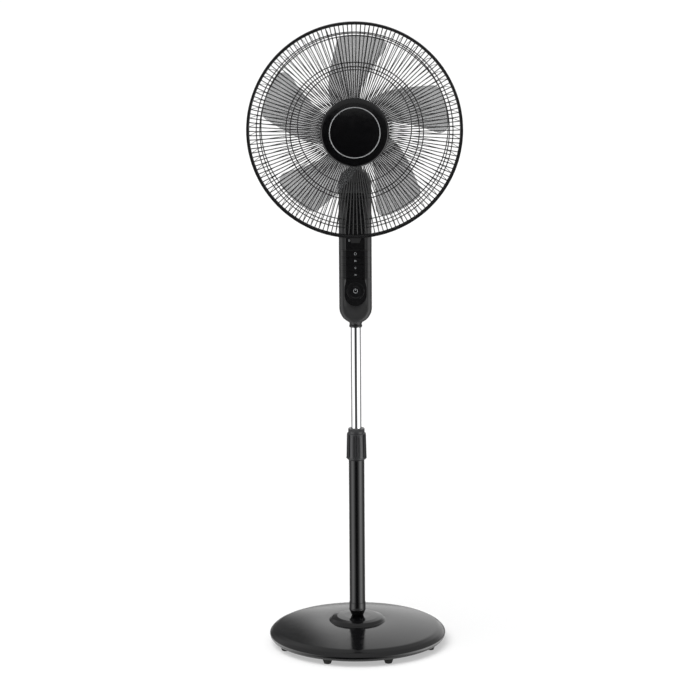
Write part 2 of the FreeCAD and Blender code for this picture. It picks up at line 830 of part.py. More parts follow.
def make_rear_housing():
    boss_bite = 0.3
    boss_length = column_half_depth - column_wall + boss_bite
    floor = 8
    shell = cut(column_half(0, True), column_half(column_wall, True))
    bosses = [cylinder(boss_radius, boss_length, x, 0, z, Y_WAY) for x, z in case_screw_places()]
    holes = []
    for x, z in case_screw_places():
        holes.append(cylinder(small_screw_radius + running_fit, column_depth, x, 0, z, Y_WAY))
        holes.append(cylinder(small_head_radius + clearance, column_depth, x, floor, z, Y_WAY))
    gland_hole = cylinder(gland_radius - 2 + running_fit, column_depth, 0, 5,
                          column_foot_height + gland_rise, Y_WAY)
    keep("rear_housing", cut(fuse(shell, *bosses), *holes, gland_hole, tilt_slot(),
                             column_hole()))


def make_housing_screws():
    floor = 8
    grip = 22
    screws = []
    for x, z in case_screw_places():
        shank = cylinder(small_screw_radius, floor + grip, x, -grip, z, Y_WAY)
        head = cylinder(small_head_radius, small_head_height, x, floor, z, Y_WAY)
        screws.append(fuse(shank, head))
    return screws


def make_lenses():
    hole = cylinder(power_button_radius + clearance, column_wall * 3, 0,
                    -column_half_depth - 1, button_height, Y_WAY)
    keep("control_lenses", group(lens_block(0, lens_thickness),
                                 cut(bezel_block(0, lens_thickness), hole)))


def make_keys():
    """Bars cut from the same rounded block as the housing, each with a stem to its switch."""
    names = ["timer_key", "swing_key", "mode_key", "speed_key"]
    for i, name in enumerate(names):
        foot = key_window_height + key_pitch * i
        bar = common(column_half(0, False),
                     block(key_width, key_depth, key_height, 0,
                           key_depth / 2 - column_half_depth, foot))
        stem = cylinder(stem_radius, stem_reach - clearance * 2, 0,
                        -column_half_depth + clearance * 2, foot + key_height / 2, Y_WAY)
        keep(name, fuse(bar, cut(stem, block(key_width, clearance * 6, key_height, 0,
                                             -column_half_depth, foot))))


def make_power_button():
    disc = cylinder(power_button_radius, power_button_depth, 0, -column_half_depth,
                    button_height, Y_WAY)
    stem = cylinder(stem_radius, stem_reach, 0, -column_half_depth, button_height, Y_WAY)
    keep("power_button", fuse(disc, stem))


def switch_heights():
    yield button_height
    for i in range(4):
        yield key_window_height + key_pitch * i + key_height / 2


def make_electronics():
    board_foot_height = column_foot_height + board_foot
    board_middle = board_front + board_thickness / 2
    keep("control_board", block(board_width, board_thickness, board_length, 0, board_middle,
                                board_foot_height))
    switches = [block(switch_width, switch_height, switch_width, 0,
                      board_front - switch_height / 2, z - switch_width / 2)
                for z in switch_heights()]
    display = block(display_width, display_depth, display_height, 0,
                    board_front - display_depth / 2, column_foot_height + display_rise)
    receiver = block(receiver_width, display_depth, receiver_width, 0,
                     board_front - display_depth / 2, column_foot_height + receiver_rise)
    keep("board_components", group(*switches, display, receiver))
    power_rise = column_foot_height + display_rise - 60
    supply_board = block(board_width, board_thickness, 90, 0, column_half_depth - 12, power_rise)
    transformer = block(transformer_width, transformer_depth, transformer_width * 1.1, 0,
                        column_half_depth - 12 - (board_thickness + transformer_depth) / 2,
                        power_rise + 20)
    keep("power_supply", group(supply_board, transformer))


def make_cord_gland():
    z = column_foot_height + gland_rise
    flange = cylinder(gland_radius, gland_flange, 0, column_half_depth, z, Y_WAY)
    neck = cylinder(gland_radius - 2, 9, 0, column_half_depth - 9, z, Y_WAY)
    bore = cylinder(cord_hole_radius, 14, 0, column_half_depth - 10, z, Y_WAY)
    keep("cord_gland", cut(fuse(flange, neck), bore))


def make_tube_holder():
    z = holder_foot
    ring = tube(holder_radius, inner_tube_radius + seat_gap, holder_length - 4, z=z)
    hole = cylinder(column_bolt_radius + seat_gap, holder_radius * 3, holder_radius * -1.5, 0,
                    holder_middle, X_WAY)
    keep("tube_holder", cut(ring, hole))
    shank = cylinder(column_bolt_radius, holder_radius * 2, -holder_radius, 0, holder_middle,
                     X_WAY)
    head = cylinder(column_bolt_radius * 1.8, 3, -holder_radius - 3, 0, holder_middle, X_WAY)
    return fuse(head, shank)


def make_neck_ring():
    keep("neck_ring", tube(neck_ring_radius, inner_tube_radius + seat_gap,
                           neck_ring_height + neck_ring_hold,
                           z=column_foot_height - neck_ring_height))


# ---------------------------------------------------------------- tilt joint

platform_foot = pivot_height + platform_rise
platform_top = platform_foot + platform_thickness
axis_height = platform_top + axis_rise
gear_centre_distance = gear_module * (swing_gear_teeth + swing_pinion_teeth) / 2
gear_top = platform_top + gear_thickness
swivel_foot = platform_top + clearance
swivel_web = gear_top + 2
swing_motor_foot = swivel_web + 3
swivel_boss_top = platform_top + swivel_pin_rise - 4


def make_pivot_bracket():
    """A steel U held between the two housings; its cheeks carry the tilt bolt."""
    foot = pivot_height - cheek_drop
    height = cheek_drop + cheek_rise
    solid = block(cheek_outside * 2, cheek_depth, height, z=foot)
    base = block(cheek_outside * 2, (column_half_depth - column_wall) * 2, cheek_thickness, z=foot)
    gap = block(cheek_inside * 2, cheek_depth * 1.2, height, z=foot + cheek_thickness)
    hole = cylinder(pivot_radius + seat_gap, cheek_outside * 3, cheek_outside * -1.5, 0,
                    pivot_height, X_WAY)
    keep("pivot_bracket", cut(fuse(solid, base), gap, hole))


def make_tilt_bolt():
    shank = cylinder(pivot_radius, cheek_outside * 2 + 6, -cheek_outside, 0, pivot_height, X_WAY)
    head = cylinder(pivot_radius * 1.7, 4, -cheek_outside - 4, 0, pivot_height, X_WAY)
    bolt = fuse(shank, head)
    nut = doc.addObject("Part::Prism", "Hex")
    nut.Polygon = 6
    set_sizes(nut, Circumradius=pivot_radius * 1.8, Height=4)
    set_place(nut, cheek_outside, 0, pivot_height, FreeCAD.Rotation(Z_WAY, X_WAY))
    bore = cylinder(pivot_radius + seat_gap, 6, cheek_outside - 1, 0, pivot_height, X_WAY)
    keep("tilt_bolt", group(bolt, cut(nut, bore)))


def make_friction_washers():
    starts = (tongue_width / 2 + clearance / 4, -(tongue_width / 2 + clearance / 4) - washer_thickness)
    washers = [tube(pivot_boss_radius - 3, pivot_radius + clearance, washer_thickness, start, 0,
                    pivot_height, X_WAY) for start in starts]
    keep("friction_washers", group(*washers))


def make_tilt_bracket():
    boss = cylinder(pivot_boss_radius, tongue_width, tongue_width / -2, 0, pivot_height, X_WAY)
    tongue = block(tongue_width, tongue_depth, platform_rise + 1, z=pivot_height)
    platform = cylinder(platform_radius, platform_thickness, z=platform_foot)
    bolt_bore = cylinder(pivot_radius + running_fit, tongue_width * 2, -tongue_width, 0,
                         pivot_height, X_WAY)
    pin_bore = cylinder(swivel_pin_radius, platform_thickness + 6, z=platform_foot - 5)
    keep("tilt_bracket", cut(fuse(boss, tongue, platform), bolt_bore, pin_bore))


def make_swivel_pin():
    pin = cylinder(swivel_pin_radius, platform_thickness + 5 + swivel_pin_rise,
                   z=platform_foot - 5)
    clip = tube(clip_radius, swivel_pin_radius + seat_gap, clip_thickness,
                z=swivel_boss_top + clearance)
    keep("swivel_pin", group(pin, clip))


def gear_shape(teeth, bore, height, foot, first_angle):
    """A spur gear with involute flanks, thinned by the backlash."""
    module = value(gear_module)
    pitch = module * teeth / 2
    pressure = math.radians(25)
    base = pitch * math.cos(pressure)
    tip = pitch + tooth_rise * module
    root = pitch - 1.05 * module
    half_tooth = math.pi / (2 * teeth) - value(gear_backlash) / (2 * pitch)
    pitch_roll = math.tan(pressure) - pressure

    def flank_angle(radius):
        slope = math.acos(min(base / radius, 1))
        return half_tooth + pitch_roll - (math.tan(slope) - slope)

    steps = 5
    low = max(base, root)
    radii = [low + (tip - low) * i / (steps - 1) for i in range(steps)]
    corners = []
    for tooth in range(teeth):
        middle = math.radians(first_angle) + 2 * math.pi * tooth / teeth
        rise = [(root, middle - flank_angle(low))] if root < low else []
        rise += [(radius, middle - flank_angle(radius)) for radius in radii]
        fall = [(radius, 2 * middle - angle) for radius, angle in reversed(rise)]
        corners += [Vector(r * math.cos(a), r * math.sin(a), foot) for r, a in rise + fall]
    outline = Part.makePolygon(corners + corners[:1])
    gear = Part.Face(outline).extrude(Vector(0, 0, height))
    if not bore:
        return gear
    return gear.cut(Part.makeCylinder(bore, height, Vector(0, 0, foot)))


def make_swing_gears():
    gear = gear_shape(swing_gear_teeth, value(swivel_pin_radius + seat_gap),
                      value(gear_thickness), value(platform_top), 0)
    shaped("swing_gear", gear)
    pinion = gear_shape(swing_pinion_teeth, 0, value(gear_thickness - clearance), 0,
                        180 / swing_pinion_teeth)
    pinion = pinion.fuse(Part.makeCylinder(value(swing_shaft_radius),
                                           value(swing_motor_foot - platform_top - clearance)))
    thing = shaped("swing_pinion", pinion)
    set_place(thing, 0, gear_centre_distance, platform_top + clearance)


def make_swivel_housing():
    """The block that turns on the platform, holds the swing drive and carries the motor."""
    middle = (swivel_back - swivel_front) / 2
    depth = swivel_back + swivel_front
    top = axis_height - motor_radius * 0.82
    body = block(swivel_width, depth, top - swivel_foot, 0, middle, swivel_foot)
    gear_tip = gear_module * (swing_gear_teeth / 2 + tooth_rise)
    pinion_tip = gear_module * (swing_pinion_teeth / 2 + tooth_rise)
    room_depth = gear_tip + gear_centre_distance + pinion_tip + clearance * 4
    gear_room = block((gear_tip + clearance * 2) * 2, room_depth, swivel_web - swivel_foot + 1, 0,
                      (gear_centre_distance + pinion_tip - gear_tip) / 2, swivel_foot - 1)
    bore = cylinder(swivel_pin_radius + running_fit, swivel_pin_rise * 2, z=swivel_foot)
    motor_room = cylinder(swing_motor_radius + running_fit, motor_radius, 0,
                          gear_centre_distance, swing_motor_foot)
    clip_room = cylinder(clip_radius + 1, motor_radius, z=swivel_boss_top)
    shaft_room = cylinder(swing_shaft_radius + 1, swivel_pin_rise, 0, gear_centre_distance,
                          swivel_foot)
    cradle = cylinder(motor_radius, depth * 2, 0, -depth, axis_height, Y_WAY)
    keep("swivel_housing", cut(body, gear_room, bore, motor_room, clip_room, shaft_room, cradle))


def make_swing_motor():
    can = cylinder(swing_motor_radius, swing_motor_height, 0, gear_centre_distance,
                   swing_motor_foot)
    keep("swing_motor", can)


# ---------------------------------------------------------------- motor, drawn along its axis

motor_bore = motor_radius - motor_wall
bearing_seat = bearing_radius + motor_wall
front_bearing_back = motor_front - motor_wall - bearing_width
rear_bearing_back = motor_back + motor_wall
hub_back = blade_plane - hub_length / 2
hub_front = blade_plane + hub_length / 2


def stator_bolt_holes(radius):
    return [cylinder(radius, motor_front - motor_back + 20, x, y, motor_back - 10)
            for x, y, _ in round_places(stator_bolt_count, stator_bolt_circle, 45)]


def make_motor_bells():
    front = turned([
        (bearing_radius - 3, motor_front + nose_length),
        (nose_radius, motor_front + nose_length),
        (nose_radius, motor_front),
        (motor_radius, motor_front),
        (motor_radius, motor_split),
        (motor_bore, motor_split),
        (motor_bore, motor_front - motor_wall),
        (bearing_seat, motor_front - motor_wall),
        (bearing_seat, front_bearing_back),
        (bearing_radius, front_bearing_back),
        (bearing_radius, motor_front - motor_wall),
        (bearing_radius - 3, motor_front - motor_wall),
    ])
    keep("motor_front_bell", cut(front, *stator_bolt_holes(stator_bolt_radius + running_fit)),
         on_head=True)
    rear = turned([
        (0, motor_back),
        (motor_radius, motor_back),
        (motor_radius, motor_split),
        (motor_bore, motor_split),
        (motor_bore, motor_back + motor_wall),
        (bearing_seat, motor_back + motor_wall),
        (bearing_seat, rear_bearing_back + bearing_width),
        (bearing_radius, rear_bearing_back + bearing_width),
        (bearing_radius, motor_back + motor_wall),
        (0, motor_back + motor_wall),
    ])
    keep("motor_rear_bell", cut(rear, *stator_bolt_holes(stator_bolt_radius)), on_head=True)


def make_stator():
    core = tube(motor_bore - seat_gap, core_bore, core_length, z=core_back)
    keep("stator_core", cut(core, *stator_bolt_holes(stator_bolt_radius + running_fit)),
         on_head=True)
    keep("stator_windings", group(
        tube(winding_outer_radius, winding_inner_radius, winding_length,
             z=core_back + core_length),
        tube(winding_outer_radius, winding_inner_radius, winding_length,
             z=core_back - winding_length)), on_head=True)


def make_motor_bolts():
    bolts = []
    for x, y, _ in round_places(stator_bolt_count, stator_bolt_circle, 45):
        shank = cylinder(stator_bolt_radius, motor_front - motor_back, x, y, motor_back)
        head = cylinder(stator_bolt_radius * 1.8, 2.4, x, y, motor_front)
        bolts.append(fuse(shank, head))
    keep("motor_bolts", group(*bolts), on_head=True)


def make_bearings():
    bearings = [tube(bearing_radius - seat_gap, shaft_radius + running_fit, bearing_width, z=back)
                for back in (front_bearing_back, rear_bearing_back)]
    keep("motor_bearings", group(*bearings), on_head=True)


def make_rotor():
    shaft_back = rear_bearing_back + 1
    pin_hole = cylinder(drive_pin_radius, shaft_radius * 3, shaft_radius * -1.5, 0, hub_back + 2,
                        X_WAY)
    keep("motor_shaft", cut(cylinder(shaft_radius, shaft_front - shaft_back, z=shaft_back),
                            pin_hole), on_head=True)
    keep("rotor_core", tube(core_bore - air_gap, shaft_radius, core_length, z=core_back),
         on_head=True)
    keep("drive_pin", cylinder(drive_pin_radius, drive_pin_length, drive_pin_length / -2, 0,
                               hub_back + 2, X_WAY), on_head=True)


def make_motor_cover():
    """The rear shell: a can with a domed end, a ring of vents and an opening underneath."""
    front = rear_plate_plane - clearance
    inside = cover_radius - cover_wall
    side_back = cover_back + cover_dome
    dome = cover_dome * 1.45
    shell = turned([
        (cover_radius, front),
        (inside, front),
        (inside, side_back, dome - cover_wall, "right"),
        (cover_crown_radius, cover_back + cover_wall),
        (0, cover_back + cover_wall),
        (0, cover_back),
        (cover_crown_radius, cover_back, dome, "left"),
        (cover_radius, side_back),
    ])
    tools = [block(swivel_width + clearance, cover_radius * 2, swivel_back + swivel_front + clearance,
                   0, -cover_radius, -swivel_back - clearance / 2)]
    for _, _, angle in round_places(vent_count, vent_outer_radius):
        slit = block(vent_outer_radius - vent_inner_radius, vent_width, cover_wall * 3,
                     (vent_outer_radius + vent_inner_radius) / 2, 0, cover_back - cover_wall)
        spoke = group(slit)
        set_place(spoke, turn=FreeCAD.Rotation(Z_WAY, angle))
        tools.append(spoke)
    keep("motor_cover", cut(shell, *tools), on_head=True)


def make_capacitor():
    gap = 3
    keep("run_capacitor", block(capacitor_width, capacitor_height, capacitor_depth, 0,
                                motor_radius * 0.35, motor_back - gap - capacitor_depth),
         on_head=True)


# ---------------------------------------------------------------- guards, drawn along the axis

hoop_radius = grille_radius - rim_band + hoop_wire_radius * 0.1
hoop_split = hoop_wire_radius + wire_radius * 0.7
front_hoop_plane = rim_plane + hoop_split
rear_hoop_plane = rim_plane - hoop_split
wire_seat = (rear_wire_radius - weld_bite) * 2
front_wire_plane = cap_plane - wire_radius - weld_bite
rear_wire_plane = rear_plate_plane + rear_plate_thickness + rear_wire_radius - weld_bite


def bent_wire(corners, bend, radius):
    """One guard wire: straight runs joined by tangent arcs, swept with a round section."""
    points = [Vector(radius, 0, plane) for radius, plane in corners]
    edges = []
    start = points[0]
    for before, corner, after in zip(points, points[1:], points[2:]):
        way_in = (corner - before).normalize()
        way_out = (after - corner).normalize()
        turn = way_in.getAngle(way_out)
        setback = bend * math.tan(turn / 2)
        enter = corner - way_in * setback
        leave = corner + way_out * setback
        bisector = (way_out - way_in).normalize()
        centre = corner + bisector * (bend / math.cos(turn / 2))
        middle = centre - bisector * bend
        edges.append(Part.LineSegment(start, enter).toShape())
        edges.append(Part.Arc(enter, middle, leave).toShape())
        start = leave
    edges.append(Part.LineSegment(start, points[-1]).toShape())
    path = Part.Wire(edges)
    first_way = (points[1] - points[0]).normalize()
    section = Part.Wire(Part.Circle(points[0], first_way, radius).toShape())
    return path.makePipeShell([section], True, False)


def wire_ring(wire, count, first_angle):
    """The same wire set evenly round the axis, each a solid of its own."""
    wires = []
    for i in range(count):
        turned_wire = wire.copy()
        turned_wire.rotate(Vector(), Z_WAY, first_angle + 360 * i / count)
        wires.append(turned_wire)
    return Part.makeCompound(wires)


def make_front_wires():
    wire = bent_wire([
        (value(wire_inner_end), value(front_wire_plane)),
        (value(front_wire_bend), value(front_wire_plane)),
        (value(front_shoulder_radius), value(front_shoulder_plane)),
        (value(hoop_radius), value(front_hoop_plane)),
    ], value(front_bend_radius), value(wire_radius))
    shaped("front_guard_wires", wire_ring(wire, wire_count, 0), on_head=True)


def make_rear_wires():
    wire = bent_wire([
        (value(wire_inner_end - 3), value(rear_wire_plane)),
        (value(rear_plate_radius + 6), value(rear_wire_plane)),
        (value(rear_shoulder_radius), value(rear_shoulder_plane)),
        (value(hoop_radius - hoop_wire_radius - wire_seat / 2), value(rear_hoop_plane)),
    ], value(rear_bend_radius), value(rear_wire_radius))
    shaped("rear_guard_wires", wire_ring(wire, rear_wire_count, 0), on_head=True)


def front_wire_plane_at(radius):
    slope = (front_wire_plane - front_shoulder_plane) / (front_shoulder_radius - front_wire_bend)
    return front_shoulder_plane + slope * (front_shoulder_radius - radius)


def rear_wire_plane_at(radius):
    reach = rear_shoulder_radius - (rear_plate_radius + 6)
    slope = (rear_shoulder_plane - rear_wire_plane) / reach
    return rear_shoulder_plane - slope * (rear_shoulder_radius - radius)


def make_guard_rings():
    seat = wire_radius + ring_wire_radius - weld_bite
    rear_seat = rear_wire_radius + ring_wire_radius - weld_bite
    radii = (outer_ring_radius, second_ring_radius, third_ring_radius, inner_ring_radius)
    front_rings = [torus(radius, ring_wire_radius, front_wire_plane_at(radius) - seat)
                   for radius in radii]
    front_rings.append(torus(hoop_radius, hoop_wire_radius, front_hoop_plane))
    keep("front_guard_rings", group(*front_rings), on_head=True)
    rear_radii = (second_ring_radius, rear_ring_radius)
    rear_rings = [torus(radius, ring_wire_radius, rear_wire_plane_at(radius) - rear_seat)
                  for radius in rear_radii]
    rear_rings.append(torus(hoop_radius, hoop_wire_radius, rear_hoop_plane))
    keep("rear_guard_rings", group(*rear_rings), on_head=True)


def make_rim_ring():
    """The channel that wraps both hoops and holds the guards together."""
    half_inside = hoop_split + hoop_wire_radius + running_fit
    half_outside = half_inside + rim_wall
    channel = hoop_radius + hoop_wire_radius + running_fit
    mouth = grille_radius - rim_band
    keep("rim_ring", turned([
        (grille_radius, rim_plane - half_outside),
        (grille_radius, rim_plane + half_outside),
        (mouth, rim_plane + half_outside),
        (mouth, rim_plane + half_inside),
        (channel, rim_plane + half_inside),
        (channel, rim_plane - half_inside),
        (mouth, rim_plane - half_inside),
        (mouth, rim_plane - half_outside),
    ]), on_head=True)


def make_rim_clip():
    foot = -(grille_radius + clip_height)
    top = -grille_radius - seat_gap
    depth = 12
    body = padded([
        (clip_foot_width / 2, foot),
        (clip_width / 2, top),
        (-clip_width / 2, top),
        (-clip_foot_width / 2, foot),
    ], depth, "XY_Plane", offset=rim_plane - depth / 2)
    middle = -(grille_radius + clip_height / 2)
    bore = cylinder(small_screw_radius, clip_width, -clip_width / 2, middle, rim_plane, X_WAY)
    keep("rim_clip", cut(body, bore), on_head=True)
    side = (clip_width + clip_foot_width) / 4
    shank = cylinder(small_screw_radius, side * 1.8, -side, middle, rim_plane, X_WAY)
    head = cylinder(small_head_radius, small_head_height, -side - small_head_height - 1.6, middle,
                    rim_plane, X_WAY)
    neck = cylinder(small_screw_radius, 2, -side - 1.8, middle, rim_plane, X_WAY)
    keep("clip_screw", fuse(shank, head, neck), on_head=True)


def make_rear_plate():
    plate = tube(rear_plate_radius, nose_radius + running_fit, rear_plate_thickness,
                 z=rear_plate_plane)
    keep("rear_guard_plate", plate, on_head=True)


def make_guard_nut():
    foot = rear_plate_plane + rear_plate_thickness + seat_gap
    ring = tube(nut_radius, nose_radius + running_fit, nut_thickness, z=foot)
    ribs = []
    for x, y, angle in round_places(nut_rib_count, nut_radius):
        rib = cylinder(2, nut_thickness, x, y, foot)
        ribs.append(rib)
    keep("guard_nut", fuse(ring, *ribs), on_head=True)


def make_front_cap():
    """The round cap: a turned edge, an almost flat face and a groove for the bright ring."""
    groove_inside = silver_ring_radius - silver_ring_width
    edge_plane = cap_plane + cap_edge
    face_plane = cap_plane + cap_rise
    body = turned([
        (0, cap_plane),
        (cap_radius - 1, cap_plane),
        (cap_radius, cap_plane + 1),
        (cap_radius, edge_plane, cap_edge, "left"),
        (cap_radius - cap_edge * 0.6, face_plane),
        (0, face_plane + cap_crown),
    ])
    groove = tube(silver_ring_radius, groove_inside, cap_rise,
                  z=face_plane - silver_ring_depth / 2)
    keep("front_cap", cut(body, groove), on_head=True)
    keep("cap_ring", tube(silver_ring_radius, groove_inside, silver_ring_depth,
                          z=face_plane - silver_ring_depth / 2), on_head=True)


def make_cap_backplate():
    top = front_wire_plane - wire_radius + weld_bite
    plate = tube(backplate_radius, blade_nut_radius, backplate_thickness,
                 z=top - backplate_thickness)
    keep("cap_backplate", plate, on_head=True)


# ---------------------------------------------------------------- blades


def blade_section(along, lead, trail):
    """A cambered strip of even thickness across the blade, at one distance from the axis."""
    half_depth = value(blade_depth) / 2
    thickness = value(blade_thickness)
    camber = value(blade_camber)
    plane = value(blade_plane)
    middle = (lead + trail) / 2

    def arc(lift):
        return Part.Arc(
            Vector(along, lead, plane - half_depth + lift),
            Vector(along, middle, plane + camber + lift),
            Vector(along, trail, plane + half_depth + lift)).toShape()

    lower = arc(-thickness / 2)
    upper = arc(thickness / 2)
    ends = [Part.LineSegment(lower.Vertexes[i].Point, upper.Vertexes[i].Point).toShape()
            for i in (0, 1)]
    return Part.Wire([lower, ends[1], upper, ends[0]])


def blade_outline():
    """The blade seen from the front: two swept edges and an arc at the tip circle."""
    tip = value(blade_tip_radius)
    hub = value(blade_hub_radius) * 0.7
    shares = (0.0, 0.32, 0.68, 1.0)
    leads = (-2, -11, -20, -26)
    trails = (52, 38, 18, 8)
    edges = []
    for angles in (leads, trails):
        points = []
        for share, angle in zip(shares, angles):
            radius = hub + (tip - hub) * share
            points.append(Vector(radius * math.cos(math.radians(angle)),
                                 radius * math.sin(math.radians(angle)), 0))
        curve = Part.BSplineCurve()
        curve.interpolate(points)
        edges.append((points, curve.toShape()))
    (lead_points, lead_edge), (trail_points, trail_edge) = edges
    tip_arc = Part.Arc(lead_points[-1], Vector(tip, 0, 0), trail_points[-1]).toShape()
    root = Part.LineSegment(lead_points[0], trail_points[0]).toShape()
    return Part.Wire(Part.__sortEdges__([lead_edge, tip_arc, trail_edge, root]))


def make_fan_blades():
    tip = value(blade_tip_radius)
    plane = value(blade_plane)
    # stations: share of the tip radius, then the two edges as shares of it
    stations = ((0.08, -0.06, 0.16), (0.35, -0.1, 0.26), (0.65, -0.25, 0.26), (1.02, -0.49, 0.19))
    strip = Part.makeLoft([blade_section(tip * s, tip * low, tip * high)
                           for s, low, high in stations], True, False)
    prism = Part.Face(blade_outline()).extrude(Vector(0, 0, plane * 2))
    corners = [edge for edge in prism.Edges
               if edge.Length > plane * 1.9 and edge.Vertexes[0].Point.x > tip * 0.8
               and abs(edge.tangentAt(edge.FirstParameter).z) > 0.99]
    prism = prism.makeFillet(value(blade_corner_radius), corners)
    blade = strip.common(prism)
    hub = Part.makeCylinder(value(blade_hub_radius), value(hub_length), Vector(0, 0, value(hub_back)))
    hollow = Part.makeCylinder(value(blade_hub_radius - hub_wall), value(hub_length - hub_wall),
                               Vector(0, 0, value(hub_back)))
    boss = Part.makeCylinder(value(shaft_radius * 3), value(hub_length - 5),
                             Vector(0, 0, value(hub_back) + 5))
    bore = Part.makeCylinder(value(shaft_radius), value(shaft_front), Vector())
    blades = []
    for i in range(round(value(blade_count))):
        copy = blade.copy()
        copy.rotate(Vector(), Z_WAY, value(blade_mid_angle) + 360 * i / value(blade_count))
        blades.append(copy)
    solid = hub.fuse(blades).cut(hollow).fuse(boss).cut(bore)
    pin_slot = Part.makeCylinder(value(drive_pin_radius), value(drive_pin_length),
                                 Vector(value(drive_pin_length) / -2, 0, value(hub_back + 2)), X_WAY)
    solid = solid.cut(pin_slot)
    shaped("fan_blades", solid.removeSplitter(), on_head=True)


def make_blade_nut():
    """The domed nut in front of the blades, with a left-hand thread on the shaft."""
    front = hub_front + blade_nut_length
    body = turned([
        (0, hub_front),
        (blade_nut_radius, hub_front),
        (blade_nut_radius, hub_front + blade_nut_length / 2, blade_nut_radius, "left"),
        (blade_nut_radius / 3, front),
        (0, front),
    ])
    bore = cylinder(shaft_radius, shaft_front - hub_front, z=hub_front)
    keep("blade_nut", cut(body, bore), on_head=True)


# ---------------------------------------------------------------- the whole fan


def make_all():
    make_base_cover()
    make_base_pan()
    make_base_feet()
    make_base_weight()
    make_column_socket()
    keep("base_fasteners", group(*make_base_screws(), *make_socket_bolts()))
    make_outer_tube()
    make_collet_sleeve()
    make_height_collar()
    make_inner_tube()
    make_tube_stop_bush()
    make_neck_ring()
    column_bolt = make_tube_holder()
    make_front_housing()
    make_rear_housing()
    keep("column_fasteners", group(column_bolt, *make_housing_screws()))
    make_lenses()
    make_keys()
    make_power_button()
    make_electronics()
    make_cord_gland()
    make_pivot_bracket()
    make_tilt_bolt()
    make_friction_washers()
    make_tilt_bracket()
    make_swivel_pin()
    make_swing_gears()
    make_swivel_housing()
    make_swing_motor()
    make_motor_bells()
    make_stator()
    make_motor_bolts()
    make_bearings()
    make_rotor()
    make_motor_cover()
    make_capacitor()
    make_front_wires()
    make_rear_wires()
    make_guard_rings()
    make_rim_ring()
    make_rim_clip()
    make_rear_plate()
    make_guard_nut()
    make_front_cap()
    make_cap_backplate()
    make_fan_blades()
    make_blade_nut()


def check_document():
    """Stops when any object failed or any sub-part has no good shape."""
    faults = [thing.Label for thing in doc.Objects
              if "Invalid" in thing.State or "Error" in thing.State]
    faults += [part.Label for part in parts
               if part.Shape.isNull() or not part.Shape.isValid() or not part.Shape.Solids]
    if faults:
        raise RuntimeError("failed: " + ", ".join(faults))


def write_parts():
    os.makedirs("parts", exist_ok=True)
    for part in parts:
        part.Shape.exportStep(f"parts/{part.Label}.step")
        box = part.Shape.BoundBox
        print(f"{part.Label}: {len(part.Shape.Solids)} solids, {part.Shape.Volume / 1000:.1f} cm3, "
              f"z {box.ZMin:.1f} to {box.ZMax:.1f}, y {box.YMin:.1f} to {box.YMax:.1f}")


make_all()
doc.recompute()
check_document()
write_parts()
print(len(parts), "sub-parts")
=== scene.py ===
import math

import bmesh
import bpy
from mathutils import Matrix, Vector


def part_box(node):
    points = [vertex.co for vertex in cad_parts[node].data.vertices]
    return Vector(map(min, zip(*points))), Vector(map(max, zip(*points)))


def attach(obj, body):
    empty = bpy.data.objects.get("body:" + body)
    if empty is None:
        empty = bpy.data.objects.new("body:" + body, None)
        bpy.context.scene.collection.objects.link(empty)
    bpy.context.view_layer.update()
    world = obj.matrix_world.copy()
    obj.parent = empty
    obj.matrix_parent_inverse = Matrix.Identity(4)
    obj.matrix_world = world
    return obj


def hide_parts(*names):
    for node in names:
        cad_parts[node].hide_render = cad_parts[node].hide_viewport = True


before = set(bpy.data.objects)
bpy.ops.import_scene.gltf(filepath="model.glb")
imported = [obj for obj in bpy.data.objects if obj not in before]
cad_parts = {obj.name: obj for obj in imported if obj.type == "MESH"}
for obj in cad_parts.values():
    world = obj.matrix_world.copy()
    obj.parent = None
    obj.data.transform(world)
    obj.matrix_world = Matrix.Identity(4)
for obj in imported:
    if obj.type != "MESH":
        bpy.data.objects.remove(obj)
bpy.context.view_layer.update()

# ---------------------------------------------------------------- studio
# A plain white floor under a soft sky, with a dim side behind the viewer so that the
# chrome and the gloss plastics have something dark to show beside the bright sides.


def colour(hex_code):
    """sRGB hex to linear RGBA."""
    parts = [int(hex_code[i:i + 2], 16) / 255 for i in (1, 3, 5)]
    return [c / 12.92 if c <= 0.04045 else ((c + 0.055) / 1.055) ** 2.4 for c in parts] + [1.0]


def add(tree, kind, inputs=None, **settings):
    """Adds a node with its settings; inputs are values or the sockets that feed them."""
    node = tree.nodes.new(kind)
    for name, setting in settings.items():
        setattr(node, name, setting)
    for name, source in (inputs or {}).items():
        socket = node.inputs[name]
        if isinstance(source, bpy.types.NodeSocket):
            tree.links.new(source, socket)
        else:
            socket.default_value = source
    return node


def put(name, data):
    """An object that holds this data, put in the scene."""
    thing = bpy.data.objects.new(name, data)
    bpy.context.scene.collection.objects.link(thing)
    return thing


def look_down(pitch, roll):
    """A turn for a camera that looks along +Y, tipped down and rolled, in degrees."""
    level = Matrix.Rotation(math.radians(90 - pitch), 4, "X")
    return level @ Matrix.Rotation(math.radians(-roll), 4, "Z")


camera = put("camera", bpy.data.cameras.new("camera"))
camera.data.lens = 132.87
camera.matrix_world = Matrix.Translation((-0.0127, -5.4715, 1.7271)) @ look_down(11.1, 0.39)
bpy.context.scene.camera = camera
bpy.context.scene.view_settings.view_transform = "Standard"

floor_half = 60.0
floor_mesh = bpy.data.meshes.new("floor")
floor_mesh.from_pydata(
    [(x * floor_half, y * floor_half, 0) for x, y in ((-1, -1), (1, -1), (1, 1), (-1, 1))],
    [], [(0, 1, 2, 3)])
floor = put("floor", floor_mesh)
paper = bpy.data.materials.new("white_floor_paper")
paper.use_nodes = True
paper_shader = paper.node_tree.nodes["Principled BSDF"]
paper_shader.inputs["Base Color"].default_value = colour("#bcbcbc")
paper_shader.inputs["Roughness"].default_value = 0.9
paper_shader.inputs["Specular IOR Level"].default_value = 0.0
